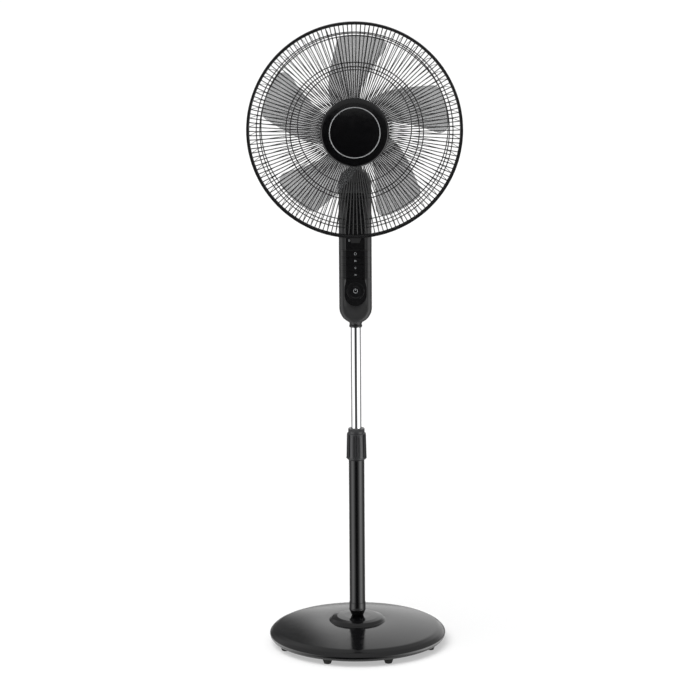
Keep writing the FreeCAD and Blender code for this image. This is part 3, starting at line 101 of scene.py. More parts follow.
# the sheet is lit from below too, as on a light table, so shadows on it stay pale
paper_shader.inputs["Emission Color"].default_value = (1, 1, 1, 1)
paper_shader.inputs["Emission Strength"].default_value = 0.42
floor_mesh.materials.append(paper)

sky = bpy.data.worlds.new("studio_sky")
sky.use_nodes = True
bpy.context.scene.world = sky
sky_tree = sky.node_tree
sky_way = add(sky_tree, "ShaderNodeTexCoord").outputs["Generated"]
sky_split = add(sky_tree, "ShaderNodeSeparateXYZ", {0: sky_way})
# behind the fan the sky is dimmer to the left, as beside the edge of a softbox
sky_left = add(sky_tree, "ShaderNodeMapRange", {"Value": sky_split.outputs["X"], "From Min": -0.13,
                                               "From Max": -0.03, "To Min": 0.16, "To Max": 1.0},
               interpolation_type="SMOOTHSTEP")
sky_back = add(sky_tree, "ShaderNodeMapRange", {"Value": sky_split.outputs["Y"], "From Min": 0.6,
                                               "From Max": 0.85})
sky_mix = add(sky_tree, "ShaderNodeMix", {"Factor": sky_back.outputs["Result"], "A": 0.55,
                                         "B": sky_left.outputs["Result"]})
sky_light = sky_tree.nodes["Background"]
sky_tree.links.new(sky_mix.outputs["Result"], sky_light.inputs["Strength"])
sky_light.inputs["Color"].default_value = (1, 1, 1, 1)

# light and dark cards on the floor, which only mirror-like surfaces see: a dark one before
# the fan, a strong strip at each side and a dim one behind
card_mesh = bpy.data.meshes.new("floor_cards")
card_bm = bmesh.new()
card_rings = [[card_bm.verts.new((r * math.sin(a), r * math.cos(a), 0.002))
               for a in [2 * math.pi * i / 72 for i in range(72)]] for r in (0.21, 50.0)]
for i in range(72):
    card_bm.faces.new((card_rings[0][i], card_rings[1][i],
                       card_rings[1][(i + 1) % 72], card_rings[0][(i + 1) % 72]))
bmesh.ops.recalc_face_normals(card_bm, faces=card_bm.faces)
card_bm.to_mesh(card_mesh)
card_bm.free()
cards = put("floor_cards", card_mesh)
card_light = bpy.data.materials.new("card_light")
card_light.use_nodes = True
card_tree = card_light.node_tree
card_tree.nodes.remove(card_tree.nodes["Principled BSDF"])
card_place = add(card_tree, "ShaderNodeTexCoord").outputs["Object"]
card_split = add(card_tree, "ShaderNodeSeparateXYZ", {0: card_place})
card_away = add(card_tree, "ShaderNodeMath", {0: card_split.outputs["Y"], 1: -1.0}, operation="MULTIPLY")
card_angle = add(card_tree, "ShaderNodeMath", {0: card_split.outputs["X"], 1: card_away.outputs["Value"]},
                 operation="ARCTAN2")
card_share = add(card_tree, "ShaderNodeMapRange", {"Value": card_angle.outputs["Value"],
                                                  "From Min": -math.pi, "From Max": math.pi})
card_ramp = add(card_tree, "ShaderNodeValToRGB", {"Fac": card_share.outputs["Result"]})
card_steps = ((-180, 0.5), (-150, 0.35), (-120, 0.2), (-97, 0.6), (-78, 2.0), (-60, 2.5), (-45, 1.6),
              (-30, 0.6), (-23, 0.2), (-16, 0.02), (3, 0.02), (13, 0.16), (27, 0.8), (42, 2.3), (57, 3.6),
              (74, 2.4), (93, 0.65), (118, 0.2), (150, 0.4), (180, 0.5))
card_peak = 4.0
for angle, level in card_steps[1:-1]:
    card_ramp.color_ramp.elements.new((angle + 180) / 360)
for element, (angle, level) in zip(card_ramp.color_ramp.elements, card_steps):
    element.position = (angle + 180) / 360
    element.color = (level / card_peak, level / card_peak, level / card_peak, 1)
card_glow = add(card_tree, "ShaderNodeEmission", {"Color": card_ramp.outputs["Color"], "Strength": card_peak})
card_tree.links.new(card_glow.outputs["Emission"], card_tree.nodes["Material Output"].inputs["Surface"])
card_mesh.materials.append(card_light)
cards.visible_camera = False
cards.visible_diffuse = False
cards.visible_shadow = False
cards.visible_transmission = False

sun = put("soft_sun", bpy.data.lights.new("soft_sun", "SUN"))
sun.data.energy = 2.5
sun.visible_glossy = False
sun.data.angle = math.radians(50)
sun.matrix_world = Matrix.Rotation(math.radians(-22), 4, "Y") @ Matrix.Rotation(math.radians(18), 4, "X")

# ---------------------------------------------------------------- base cover
# A shallow dome of high-gloss black ABS with a raised boss in the middle, a flat bevel
# round its edge and a rounded lip. Moulded in one piece over the iron weight.

mm = 0.001
base_low, base_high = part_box("base_cover")
base_radius = base_high.x
boss_top = base_high.z


def rounded(corners, radius, steps=4):
    """An open outline whose inner corners are eased by a short curve."""
    points = [Vector(corners[0])]
    for before, corner, after in zip(corners, corners[1:], corners[2:]):
        here = Vector(corner)
        way_in = Vector(before) - here
        way_out = Vector(after) - here
        reach = min(radius, way_in.length * 0.45, way_out.length * 0.45)
        enter = here + way_in.normalized() * reach
        leave = here + way_out.normalized() * reach
        for i in range(steps + 1):
            t = i / steps
            points.append(enter.lerp(here, t).lerp(here.lerp(leave, t), t))
    points.append(Vector(corners[-1]))
    return points


def finish_mesh(name, bm, material, turn=None, crease=35.0):
    """Cleans a mesh, points its faces outwards, smooths it and makes it an object."""
    bmesh.ops.remove_doubles(bm, verts=bm.verts, dist=1e-6)
    bmesh.ops.recalc_face_normals(bm, faces=bm.faces)
    mesh = bpy.data.meshes.new(name)
    bm.to_mesh(mesh)
    bm.free()
    if turn:
        mesh.transform(turn)
    for polygon in mesh.polygons:
        polygon.use_smooth = True
    mesh.set_sharp_from_angle(angle=math.radians(crease))
    mesh.materials.append(material)
    piece = put(name, mesh)
    return piece


def turn_on_lathe(name, outline, material, segments=128, turn=None, closed=False, crease=35.0,
                  shape=None):
    """Turns an outline of (radius, height) round Z. shape may bend a point by its angle."""
    bm = bmesh.new()
    rows = []
    for radius, height in outline:
        if radius < 1e-6:
            rows.append([bm.verts.new((0, 0, height))])
            continue
        row = []
        for i in range(segments):
            angle = 2 * math.pi * i / segments
            r = shape(radius, height, angle) if shape else radius
            row.append(bm.verts.new((r * math.cos(angle), r * math.sin(angle), height)))
        rows.append(row)
    pairs = list(zip(rows, rows[1:]))
    if closed:
        pairs.append((rows[-1], rows[0]))
    for low, high in pairs:
        for i in range(segments):
            j = (i + 1) % segments
            corners = [low[i % len(low)], low[j % len(low)], high[j % len(high)], high[i % len(high)]]
            bm.faces.new(list(dict.fromkeys(corners)))
    return finish_mesh(name, bm, material, turn, crease)


def new_finish(name, **sockets):
    """A material whose shader has these socket values, and the piece's own coordinates."""
    material = bpy.data.materials.new(name)
    material.use_nodes = True
    shader = material.node_tree.nodes["Principled BSDF"]
    for socket, setting in sockets.items():
        shader.inputs[socket.replace("_", " ")].default_value = setting
    tree = material.node_tree
    return material, tree, shader, add(tree, "ShaderNodeTexCoord").outputs["Object"]


def two_tone(tree, shader, pattern, dark, light):
    """Blends the base colour between two by a pattern."""
    shade = add(tree, "ShaderNodeMix", {"Factor": pattern}, data_type="RGBA")
    shade.inputs["A"].default_value = colour(dark)
    shade.inputs["B"].default_value = colour(light)
    tree.links.new(shade.outputs["Result"], shader.inputs["Base Color"])


def spread(tree, shader, socket, pattern, low, high, start=0.0, end=1.0):
    """Spreads a pattern's values from start to end over a shader socket, from low to high."""
    run = add(tree, "ShaderNodeMapRange", {"Value": pattern, "From Min": start, "From Max": end,
                                          "To Min": low, "To Max": high})
    tree.links.new(run.outputs["Result"], shader.inputs[socket])


def raise_grain(tree, shader, height, strength, depth):
    """Bumps the surface by a pattern, this deep at most."""
    bump = add(tree, "ShaderNodeBump", {"Height": height, "Strength": strength, "Distance": depth})
    tree.links.new(bump.outputs["Normal"], shader.inputs["Normal"])


def gloss_black_abs():
    """Piano-black ABS from a polished mould: deep black, a trace of flow waviness, and
    fine wipe marks that dull the gloss in patches."""
    material, tree, shader, place = new_finish("gloss_black_abs", IOR=1.53, Metallic=0.0)
    clouds = add(tree, "ShaderNodeTexNoise", {"Vector": place, "Scale": 1 / (45 * mm), "Detail": 4.0})
    two_tone(tree, shader, clouds.outputs["Fac"], "#040405", "#08080a")
    wipes = add(tree, "ShaderNodeTexNoise", {"Vector": place, "Scale": 1 / (12 * mm), "Detail": 8.0,
                                            "Roughness": 0.7})
    spread(tree, shader, "Roughness", wipes.outputs["Fac"], 0.09, 0.2, 0.35, 0.75)
    flow = add(tree, "ShaderNodeTexNoise", {"Vector": place, "Scale": 1 / (30 * mm), "Detail": 1.0})
    raise_grain(tree, shader, flow.outputs["Fac"], 0.25, 0.15 * mm)
    return material


piano_black = gloss_black_abs()
dome_edge = base_radius - 15 * mm
dome_foot = boss_top - 10.8 * mm
boss_radius = 62.5 * mm
dome_drop = 13.7 * mm
dome_steps = 24
dome = []
for i in range(dome_steps + 1):
    share = i / dome_steps
    dome.append((boss_radius + (dome_edge - boss_radius) * share,
                 dome_foot - dome_drop * share ** 1.7))
boss = rounded([
    (12 * mm, boss_top - 2 * mm), (12.4 * mm, boss_top), (30 * mm, boss_top - 0.3 * mm),
    (45 * mm, boss_top - 1.3 * mm), (55.5 * mm, boss_top - 3.6 * mm), (59.4 * mm, boss_top - 7.4 * mm),
    (59.6 * mm, boss_top - 8.7 * mm), (61 * mm, boss_top - 8.9 * mm), (62.2 * mm, dome_foot + 0.4 * mm),
], 1.2 * mm)
lip = rounded([
    (dome_edge + 0.6 * mm, dome_foot - dome_drop - 0.3 * mm),
    (base_radius - 6 * mm, dome_foot - dome_drop - 4.6 * mm),
    (base_radius, dome_foot - dome_drop - 11 * mm),
    (base_radius, base_low.z + 5 * mm),
    (base_radius - 3.4 * mm, base_low.z),
    (base_radius - 6.4 * mm, base_low.z),
    (base_radius - 6.4 * mm, base_low.z + 3 * mm),
    (base_radius - 3.4 * mm, base_low.z + 8 * mm),
    (dome_edge - 1 * mm, dome_foot - dome_drop - 3 * mm),
    (boss_radius, dome_foot - 3 * mm),
    (52 * mm, boss_top - 5 * mm),
    (12 * mm, boss_top - 3 * mm),
], 2.5 * mm, 6)
base_shell = turn_on_lathe("base_shell", boss + dome + lip, piano_black, 192, closed=True, crease=24)
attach(base_shell, "stand")
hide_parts("base_cover")

# ---------------------------------------------------------------- underside of the base
# A pressed steel pan, the cast iron weight, zinc-plated screws and eight rubber feet. The
# feet are tapered studs pushed into the pan.


def cast_iron():
    """Sand-cast grey iron: pitted, dull, with rust-brown specks."""
    material, tree, shader, place = new_finish("cast_iron", Metallic=0.8, Roughness=0.7)
    pits = add(tree, "ShaderNodeTexNoise", {"Vector": place, "Scale": 1 / (1.5 * mm), "Detail": 6.0})
    two_tone(tree, shader, pits.outputs["Fac"], "#2c2a29", "#5a5654")
    raise_grain(tree, shader, pits.outputs["Fac"], 0.6, 0.3 * mm)
    return material


def moulded_rubber():
    """Black moulded rubber: matt, with a chalky bloom."""
    material, tree, shader, place = new_finish("moulded_rubber", IOR=1.52, Roughness=0.82)
    bloom = add(tree, "ShaderNodeTexNoise", {"Vector": place, "Scale": 1 / (3 * mm), "Detail": 5.0})
    two_tone(tree, shader, bloom.outputs["Fac"], "#121212", "#262625")
    grain = add(tree, "ShaderNodeTexNoise", {"Vector": place, "Scale": 1 / (0.6 * mm)})
    raise_grain(tree, shader, grain.outputs["Fac"], 0.4, 0.08 * mm)
    return material


def plated_steel():
    """Zinc-plated steel: pale grey metal with a faint mottled spangle."""
    material, tree, shader, place = new_finish("plated_steel", Metallic=1.0, Roughness=0.34)
    spangle = add(tree, "ShaderNodeTexVoronoi", {"Vector": place, "Scale": 1 / (4 * mm)})
    two_tone(tree, shader, spangle.outputs["Distance"], "#a9abad", "#c6c8ca")
    spread(tree, shader, "Roughness", spangle.outputs["Distance"], 0.28, 0.42)
    return material


def black_enamel():
    """Stoved black enamel on steel: glossy, with a fine orange-peel skin."""
    material, tree, shader, place = new_finish("black_enamel", IOR=1.5)
    peel = add(tree, "ShaderNodeTexNoise", {"Vector": place, "Scale": 1 / (2.2 * mm), "Detail": 2.0})
    two_tone(tree, shader, peel.outputs["Fac"], "#070708", "#0d0d0e")
    spread(tree, shader, "Roughness", peel.outputs["Fac"], 0.08, 0.17)
    raise_grain(tree, shader, peel.outputs["Fac"], 0.12, 0.05 * mm)
    return material


def repaint(material, *nodes):
    """Gives CAD nodes that keep their own shape a material."""
    for node in nodes:
        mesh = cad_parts[node].data
        mesh.materials.clear()
        mesh.materials.append(material)


def eased_copy(node, material, body, crease=30.0):
    """A CAD node's own shape with its triangles joined and its curved faces smoothed."""
    bm = bmesh.new()
    bm.from_mesh(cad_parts[node].data)
    bmesh.ops.remove_doubles(bm, verts=bm.verts, dist=1e-6)
    mesh = bpy.data.meshes.new(f"{node}_moulding")
    bm.to_mesh(mesh)
    bm.free()
    for polygon in mesh.polygons:
        polygon.use_smooth = True
    mesh.set_sharp_from_angle(angle=math.radians(crease))
    mesh.materials.clear()
    mesh.materials.append(material)
    piece = put(f"{node}_moulding", mesh)
    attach(piece, body)
    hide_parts(node)
    return piece


steel_zinc = plated_steel()
enamel = black_enamel()
rubber = moulded_rubber()
repaint(enamel, "base_pan")
repaint(cast_iron(), "base_weight")
repaint(steel_zinc, "base_fasteners")
eased_copy("base_feet", rubber, "stand")

# ---------------------------------------------------------------- pole
# The tapered socket and the outer tube are drawn steel in black enamel. The tube is
# pushed in the socket's cup, which shows as a slightly wider end band.

eased_copy("column_socket", enamel, "stand", 20)
tube_low, tube_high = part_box("outer_tube")
tube_radius = tube_high.x
tube_wall = 1.2 * mm
outer_tube = turn_on_lathe("enamelled_tube", [
    (tube_radius, tube_low.z), (tube_radius, tube_high.z - 0.5 * mm),
    (tube_radius - 0.5 * mm, tube_high.z), (tube_radius - tube_wall, tube_high.z),
    (tube_radius - tube_wall, tube_low.z)], enamel, 96, closed=True)
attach(outer_tube, "stand")
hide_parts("outer_tube")


def acetal_white():
    """Natural acetal: milky, waxy and slightly rough from the mould."""
    material, tree, shader, place = new_finish("natural_acetal", IOR=1.48, Roughness=0.4)
    haze = add(tree, "ShaderNodeTexNoise", {"Vector": place, "Scale": 1 / (6 * mm)})
    two_tone(tree, shader, haze.outputs["Fac"], "#cfcec8", "#e2e1dc")
    return material


acetal = acetal_white()
repaint(acetal, "collet_sleeve", "tube_stop_bush", "friction_washers")

# ---------------------------------------------------------------- height collar
# A hand nut of satin black ABS. Its barrel widens downwards and carries six broad flats
# with a pair of narrow ribs between each two, and a plain ring stands above them.


def satin_black_abs(name, dark, light, grit, smooth=0.3):
    """Satin ABS from a spark-eroded mould: dark grey-black with a fine even grain."""
    material, tree, shader, place = new_finish(name, IOR=1.53)
    clouds = add(tree, "ShaderNodeTexNoise", {"Vector": place, "Scale": 1 / (25 * mm), "Detail": 3.0})
    two_tone(tree, shader, clouds.outputs["Fac"], dark, light)
    # the real grain is about 0.1 mm, drawn coarser so that it shows
    grain = add(tree, "ShaderNodeTexNoise", {"Vector": place, "Scale": 1 / grit, "Detail": 3.0})
    spread(tree, shader, "Roughness", grain.outputs["Fac"], smooth, smooth + 0.14)
    raise_grain(tree, shader, grain.outputs["Fac"], 0.3, 0.06 * mm)
    return material


satin_abs = satin_black_abs("satin_black_abs", "#101011", "#161617", 0.45 * mm)
# the collar's copy of the satin black ABS is a lighter grey than the other black parts: painted sheen that
# stands in for the light on its ribs
collar_abs_painted_sheen = satin_black_abs("collar_black_abs", "#242426", "#2b2b2d", 0.45 * mm, 0.26)
collar_low, collar_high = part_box("height_collar")
barrel_low = collar_low.z + 5.2 * mm
barrel_high = barrel_low + 53.4 * mm
flange_radius = collar_high.x
cluster_count = 6
half_cluster = 180 / cluster_count
# degrees from the middle of a pair of ribs to where its slot, the rib and the hollow end
slot_end, rib_end, hollow_end = 2.0, 9.5, 17.0
collar_bore = 17.4 * mm
barrel_foot_radius = 21.6 * mm
barrel_taper = 1.3 * mm
barrel_steps = 12


def grip(radius, height, angle):
    """Flats and paired ribs on the barrel; the ring and flange stay round."""
    if not barrel_low + 1 * mm < height < barrel_high - 1 * mm or radius < 19 * mm:
        return radius
    facing = (angle + math.pi / 2) * cluster_count / (2 * math.pi)
    off = abs(facing - round(facing)) * 360 / cluster_count
    if off < slot_end:
        return radius - 1.2 * mm
    if off < rib_end:
        return radius + 0.2 * mm
    if off < hollow_end:
        return radius - 2.2 * mm
    bow = min((off - hollow_end) / (half_cluster - hollow_end), 1)
    return radius + 0.4 * mm * math.sin(math.pi * bow / 2)


barrel_rows = [(barrel_foot_radius - barrel_taper * i / barrel_steps,
                barrel_low + (barrel_high - barrel_low) * i / barrel_steps)
               for i in range(barrel_steps + 1)]
collar_outline = [
    (collar_bore, collar_low.z), (18.6 * mm, collar_low.z), (21.9 * mm, collar_low.z + 3.4 * mm),
    (flange_radius - 0.4 * mm, collar_low.z + 4 * mm), (flange_radius - 0.4 * mm, barrel_low)
] + barrel_rows + [
    (18.6 * mm, barrel_high + 1.2 * mm), (17.85 * mm, barrel_high + 1.6 * mm),
    (17.85 * mm, collar_high.z - 0.8 * mm), (17.2 * mm, collar_high.z),
    (11.4 * mm, collar_high.z), (11.4 * mm, collar_high.z - 10 * mm), (collar_bore, collar_high.z - 11 * mm)]
collar = turn_on_lathe("ribbed_collar", collar_outline, collar_abs_painted_sheen, 720, closed=True, shape=grip,
                       crease=40)
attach(collar, "collar")
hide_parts("height_collar")

# ---------------------------------------------------------------- inner tube
# Bright chromed steel tube that slides in the outer one, with a black moulded ring
# where it enters the control column.


def polished_chrome():
    """Chrome plate on a polished tube: a mirror with faint drawn lines along its length."""
    material, tree, shader, place = new_finish("polished_chrome", Metallic=1.0)
    stretch = add(tree, "ShaderNodeMapping", {"Vector": place, "Scale": (1, 1, 0.01)})
    lines = add(tree, "ShaderNodeTexNoise", {"Vector": stretch.outputs["Vector"], "Scale": 1 / (0.8 * mm),
                                            "Detail": 3.0})
    two_tone(tree, shader, lines.outputs["Fac"], "#dcdddf", "#e9eaeb")
    spread(tree, shader, "Roughness", lines.outputs["Fac"], 0.04, 0.1)
    return material


chrome = polished_chrome()
inner_low, inner_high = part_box("inner_tube")
inner_radius = inner_high.x
inner_tube = turn_on_lathe("chrome_tube", [
    (inner_radius, inner_low.z), (inner_radius, inner_high.z),
    (inner_radius - tube_wall, inner_high.z), (inner_radius - tube_wall, inner_low.z)],
    chrome, 128, closed=True)
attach(inner_tube, "column")
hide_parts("inner_tube")

neck_low, neck_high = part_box("neck_ring")
neck = turn_on_lathe("neck_bush", rounded([
    (inner_radius + 0.1 * mm, neck_low.z), (neck_high.x - 0.6 * mm, neck_low.z),
    (neck_high.x, neck_low.z + 1 * mm), (neck_high.x, neck_low.z + 4.6 * mm),
    (neck_high.x - 1.2 * mm, neck_low.z + 5.6 * mm), (neck_high.x - 1.2 * mm, neck_low.z + 7.4 * mm),
    (neck_high.x, neck_low.z + 8.4 * mm), (neck_high.x, neck_high.z),
    (inner_radius + 0.1 * mm, neck_high.z)], 0.4 * mm), satin_abs, 96, closed=True)
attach(neck, "column")
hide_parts("neck_ring")

# ---------------------------------------------------------------- control column
# Two satin ABS half shells, screwed together from behind and split at the middle of their
# depth. The front one holds the smoked panels, and the inside holds the board and bracket.

column_satin = satin_black_abs("column_satin_abs", "#141415", "#1a1a1b", 0.5 * mm, 0.4)
for shell in ("front_housing", "rear_housing"):
    eased_copy(shell, column_satin, "column", 24)
eased_copy("cord_gland", rubber, "column")
repaint(satin_abs, "tube_holder")
repaint(steel_zinc, "column_fasteners", "pivot_bracket", "tilt_bolt", "tilt_bracket", "swivel_pin")
repaint(acetal, "swing_gear")


def solder_mask():
    """Green solder mask on glass board, with faint copper tracks beneath it."""
    material, tree, shader, place = new_finish("solder_mask", IOR=1.55, Roughness=0.35)
    tracks = add(tree, "ShaderNodeTexBrick", {"Vector": place, "Scale": 1 / (9 * mm), "Mortar Size": 0.04})
    tracks.inputs["Color1"].default_value = colour("#0f4a2c")
    tracks.inputs["Color2"].default_value = colour("#135333")
    tracks.inputs["Mortar"].default_value = colour("#2f7a4a")
    tree.links.new(tracks.outputs["Color"], shader.inputs["Base Color"])
    return material


board = solder_mask()
repaint(board, "control_board", "power_supply")
repaint(satin_abs, "board_components")

# ---------------------------------------------------------------- panels and keys
# Smoked acrylic covers the display and the power button. Four rocker keys cross the column
# below the display, and the same smoked gloss runs down the middle of each.


def smoked_acrylic():
    """Smoked acrylic: almost black and mirror smooth, with fine dust and wipe marks."""
    material, tree, shader, place = new_finish("smoked_acrylic", IOR=1.49)
    dust = add(tree, "ShaderNodeTexNoise", {"Vector": place, "Scale": 1 / (7 * mm), "Detail": 7.0})
    two_tone(tree, shader, dust.outputs["Fac"], "#101011", "#171718")
    spread(tree, shader, "Roughness", dust.outputs["Fac"], 0.06, 0.18, 0.4, 0.8)
    return material


def key_plastic(strip_half):
    """Satin ABS with a gloss smoked strip down the middle third of the key's length."""
    material, tree, shader, place = new_finish("key_plastic", IOR=1.53)
    across = add(tree, "ShaderNodeSeparateXYZ", {0: place}).outputs["X"]
    aside = add(tree, "ShaderNodeMath", {0: across}, operation="ABSOLUTE").outputs["Value"]
    edge = add(tree, "ShaderNodeMapRange", {"Value": aside, "From Min": strip_half - 0.1 * mm,
                                           "From Max": strip_half + 0.1 * mm})
    grain = add(tree, "ShaderNodeTexNoise", {"Vector": place, "Scale": 1 / (0.5 * mm), "Detail": 3.0})
    two_tone(tree, shader, edge.outputs["Result"], "#131314", "#161617")
    spread(tree, shader, "Roughness", edge.outputs["Result"], 0.1, 0.38)
    depth = add(tree, "ShaderNodeMath", {0: edge.outputs["Result"], 1: 0.3}, operation="MULTIPLY")
    raise_grain(tree, shader, grain.outputs["Fac"], depth.outputs["Value"], 0.06 * mm)
    return material


def pad_print():
    """White pad-printing ink, a little uneven in cover."""
    material, tree, shader, place = new_finish("pad_print", IOR=1.5, Roughness=0.45)
    cover = add(tree, "ShaderNodeTexNoise", {"Vector": place, "Scale": 1 / (0.8 * mm)})
    two_tone(tree, shader, cover.outputs["Fac"], "#8f9294", "#b4b6b8")
    return material


acrylic = smoked_acrylic()
eased_copy("control_lenses", acrylic, "column", 24)
panel_half = 20 * mm
key_finish = key_plastic(panel_half)
ink = pad_print()


def arc_band(inner, outer, start=0.0, end=360.0, steps=24):
    """Corner lists of a flat band round a centre, in millimetres."""
    ring = []
    for i in range(steps):
        a = math.radians(start + (end - start) * i / steps)
        b = math.radians(start + (end - start) * (i + 1) / steps)
        ring.append([(inner * math.cos(a), inner * math.sin(a)), (outer * math.cos(a), outer * math.sin(a)),
                     (outer * math.cos(b), outer * math.sin(b)), (inner * math.cos(b), inner * math.sin(b))])
    return ring


def bar(width, height, x=0.0, z=0.0):
    """A flat rectangle as a corner list."""
    return [(x - width / 2, z - height / 2), (x + width / 2, z - height / 2),
            (x + width / 2, z + height / 2), (x - width / 2, z + height / 2)]


def petal(turn):
    """A leaf shape that points out from the centre at this angle."""
    shape = ((0.7, 0.0), (1.3, -0.7), (2.4, -1.0), (3.4, -0.7),
             (3.9, 0.0), (3.4, 0.7), (2.4, 1.0), (1.3, 0.7))
    c, s = math.cos(math.radians(turn)), math.sin(math.radians(turn))
    return [(u * c - v * s, u * s + v * c) for u, v in shape]


def print_mark(node, shapes, body, scale=0.72 * mm):
    """A raised ink mark, 0.1 mm thick, on the front of a key."""
    low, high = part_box(node)
    z = (low.z + high.z) / 2
    bm = bmesh.new()
    for shape in shapes:
        front = [bm.verts.new((x * scale, low.y - 0.1 * mm, z + up * scale)) for x, up in shape]
        back = [bm.verts.new((x * scale, low.y + 0.02 * mm, z + up * scale)) for x, up in shape]
        bm.faces.new(front)
        bm.faces.new(back[::-1])
        for i in range(len(shape)):
            j = (i + 1) % len(shape)
            bm.faces.new((front[i], front[j], back[j], back[i]))
    bmesh.ops.recalc_face_normals(bm, faces=bm.faces)
    mesh = bpy.data.meshes.new(f"{node}_mark")
    bm.to_mesh(mesh)
    bm.free()
    mesh.materials.append(ink)
    piece = put(f"{node}_mark", mesh)
    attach(piece, body)


marks = {
    "speed_key": arc_band(2.9, 3.9),
    "mode_key": [petal(t) for t in (45, 135, 225, 315)],
    "swing_key": arc_band(2.2, 3.2, 0, 360, 4),
    "timer_key": [bar(7, 0.8, 0, 1.1), bar(7, 0.8, 0, -1.1)],
}
for key, shapes in marks.items():
    eased_copy(key, key_finish, key, 24)
    print_mark(key, shapes, key)

low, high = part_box("power_button")
button_radius = (high.x - low.x) / 2
button_front = -low.y
button_back = button_front - 4 * mm
stem_radius = 3 * mm
button_turn = Matrix.Translation((0, 0, (low.z + high.z) / 2)) @ Matrix.Rotation(math.pi / 2, 4, "X")
# a flat middle, a shallow dish round it and an eased edge, then the stem behind
button_outline = [(0, button_front), (8 * mm, button_front), (10 * mm, button_front - 0.15 * mm),
                  (12.5 * mm, button_front - 0.4 * mm), (15 * mm, button_front - 0.2 * mm)]
button_outline += rounded([
    (16.6 * mm, button_front), (button_radius, button_front), (button_radius, button_back)],
    0.8 * mm, 5)
button_outline += [(stem_radius, button_back), (stem_radius, -high.y), (0, -high.y)]
button = turn_on_lathe("dished_button", button_outline, acrylic, 96, crease=30, turn=button_turn)
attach(button, "power_button")
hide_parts("power_button")
print_mark("power_button", arc_band(3.9, 4.8, 120, 420) + [bar(0.9, 4.6, 0, 3.4)], "power_button", 1 * mm)

# ---------------------------------------------------------------- swivel and motor
# The satin swivel box carries the motor cover, a deep moulded cup with slots behind.
# The motor sits in it: pressed steel bells, a stacked core, lacquered copper windings.


def lacquered_copper():
    """Copper winding wire under amber lacquer, wound in fine parallel turns."""
    material, tree, shader, place = new_finish("lacquered_copper", Metallic=1.0, Roughness=0.3)
    turns = add(tree, "ShaderNodeTexWave", {"Vector": place, "Scale": 0.5 / (1 * mm), "Distortion": 2.0})
    two_tone(tree, shader, turns.outputs["Fac"], "#8a4a22", "#c77a42")
    return material


eased_copy("swivel_housing", satin_abs, "head", 24)
eased_copy("motor_cover", satin_abs, "head", 24)
repaint(steel_zinc, "motor_front_bell", "motor_rear_bell", "stator_core", "motor_bolts", "motor_bearings",
        "motor_shaft", "rotor_core", "drive_pin", "swing_motor")
repaint(lacquered_copper(), "stator_windings")
repaint(satin_abs, "run_capacitor")
repaint(acetal, "swing_pinion")

# ---------------------------------------------------------------- guards
# Two grilles of straight drawn-steel wires, 150 in front and 75 thinner ones behind, welded to
# hoops and rings, all in black enamel. A moulded band and a clip hold them together.

rim_low, rim_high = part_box("rim_ring")
axis_height = (rim_low.z + rim_high.z) / 2
head_turn = Matrix.Translation((0, 0, axis_height)) @ Matrix.Rotation(math.radians(90), 4, "X")


def spoke_tree():
    """A geometry tree that bends one wire through four points and copies it round Z."""
    tree = bpy.data.node_groups.new("spokes_round_axis", "GeometryNodeTree")
    tree.interface.new_socket("Geometry", in_out="OUTPUT", socket_type="NodeSocketGeometry")
    for corner in ("Hub Point", "Inner Bend", "Outer Bend", "Rim Point"):
        tree.interface.new_socket(corner, in_out="INPUT", socket_type="NodeSocketVector")
    for number in ("Bend Radius", "Wire Radius", "First Angle"):
        tree.interface.new_socket(number, in_out="INPUT", socket_type="NodeSocketFloat")
    tree.interface.new_socket("Count", in_out="INPUT", socket_type="NodeSocketInt")
    tree.interface.new_socket("Material", in_out="INPUT", socket_type="NodeSocketMaterial")
    given = add(tree, "NodeGroupInput").outputs
    path = add(tree, "GeometryNodeCurvePrimitiveQuadrilateral",
               {"Point 1": given["Hub Point"], "Point 2": given["Inner Bend"],
                "Point 3": given["Outer Bend"], "Point 4": given["Rim Point"]}, mode="POINTS")
    opened = add(tree, "GeometryNodeSetSplineCyclic", {"Geometry": path.outputs["Curve"], "Cyclic": False})
    bent = add(tree, "GeometryNodeFilletCurve", {"Curve": opened.outputs["Geometry"], "Count": 4,
                                                "Radius": given["Bend Radius"], "Limit Radius": True},
               mode="POLY")
    section = add(tree, "GeometryNodeCurvePrimitiveCircle", {"Resolution": 6, "Radius": given["Wire Radius"]})
    wire = add(tree, "GeometryNodeCurveToMesh", {"Curve": bent.outputs["Curve"],
                                                "Profile Curve": section.outputs["Curve"],
                                                "Fill Caps": True})
    spots = add(tree, "GeometryNodePoints", {"Count": given["Count"]})
    index = add(tree, "GeometryNodeInputIndex").outputs["Index"]
    share = add(tree, "ShaderNodeMath", {0: index, 1: given["Count"]}, operation="DIVIDE").outputs["Value"]
    angle = add(tree, "ShaderNodeMath", {0: share, 1: 2 * math.pi, 2: given["First Angle"]},
                operation="MULTIPLY_ADD").outputs["Value"]
    turned = add(tree, "FunctionNodeAxisAngleToRotation", {"Axis": (0, 0, 1), "Angle": angle})
    copies = add(tree, "GeometryNodeInstanceOnPoints", {"Points": spots.outputs["Points"],
                                                       "Instance": wire.outputs["Mesh"],
                                                       "Rotation": turned.outputs["Rotation"]})
    joined = add(tree, "GeometryNodeRealizeInstances", {"Geometry": copies.outputs["Instances"]})
    painted = add(tree, "GeometryNodeSetMaterial", {"Geometry": joined.outputs["Geometry"],
                                                   "Material": given["Material"]})
    add(tree, "NodeGroupOutput", {"Geometry": painted.outputs["Geometry"]})
    return tree


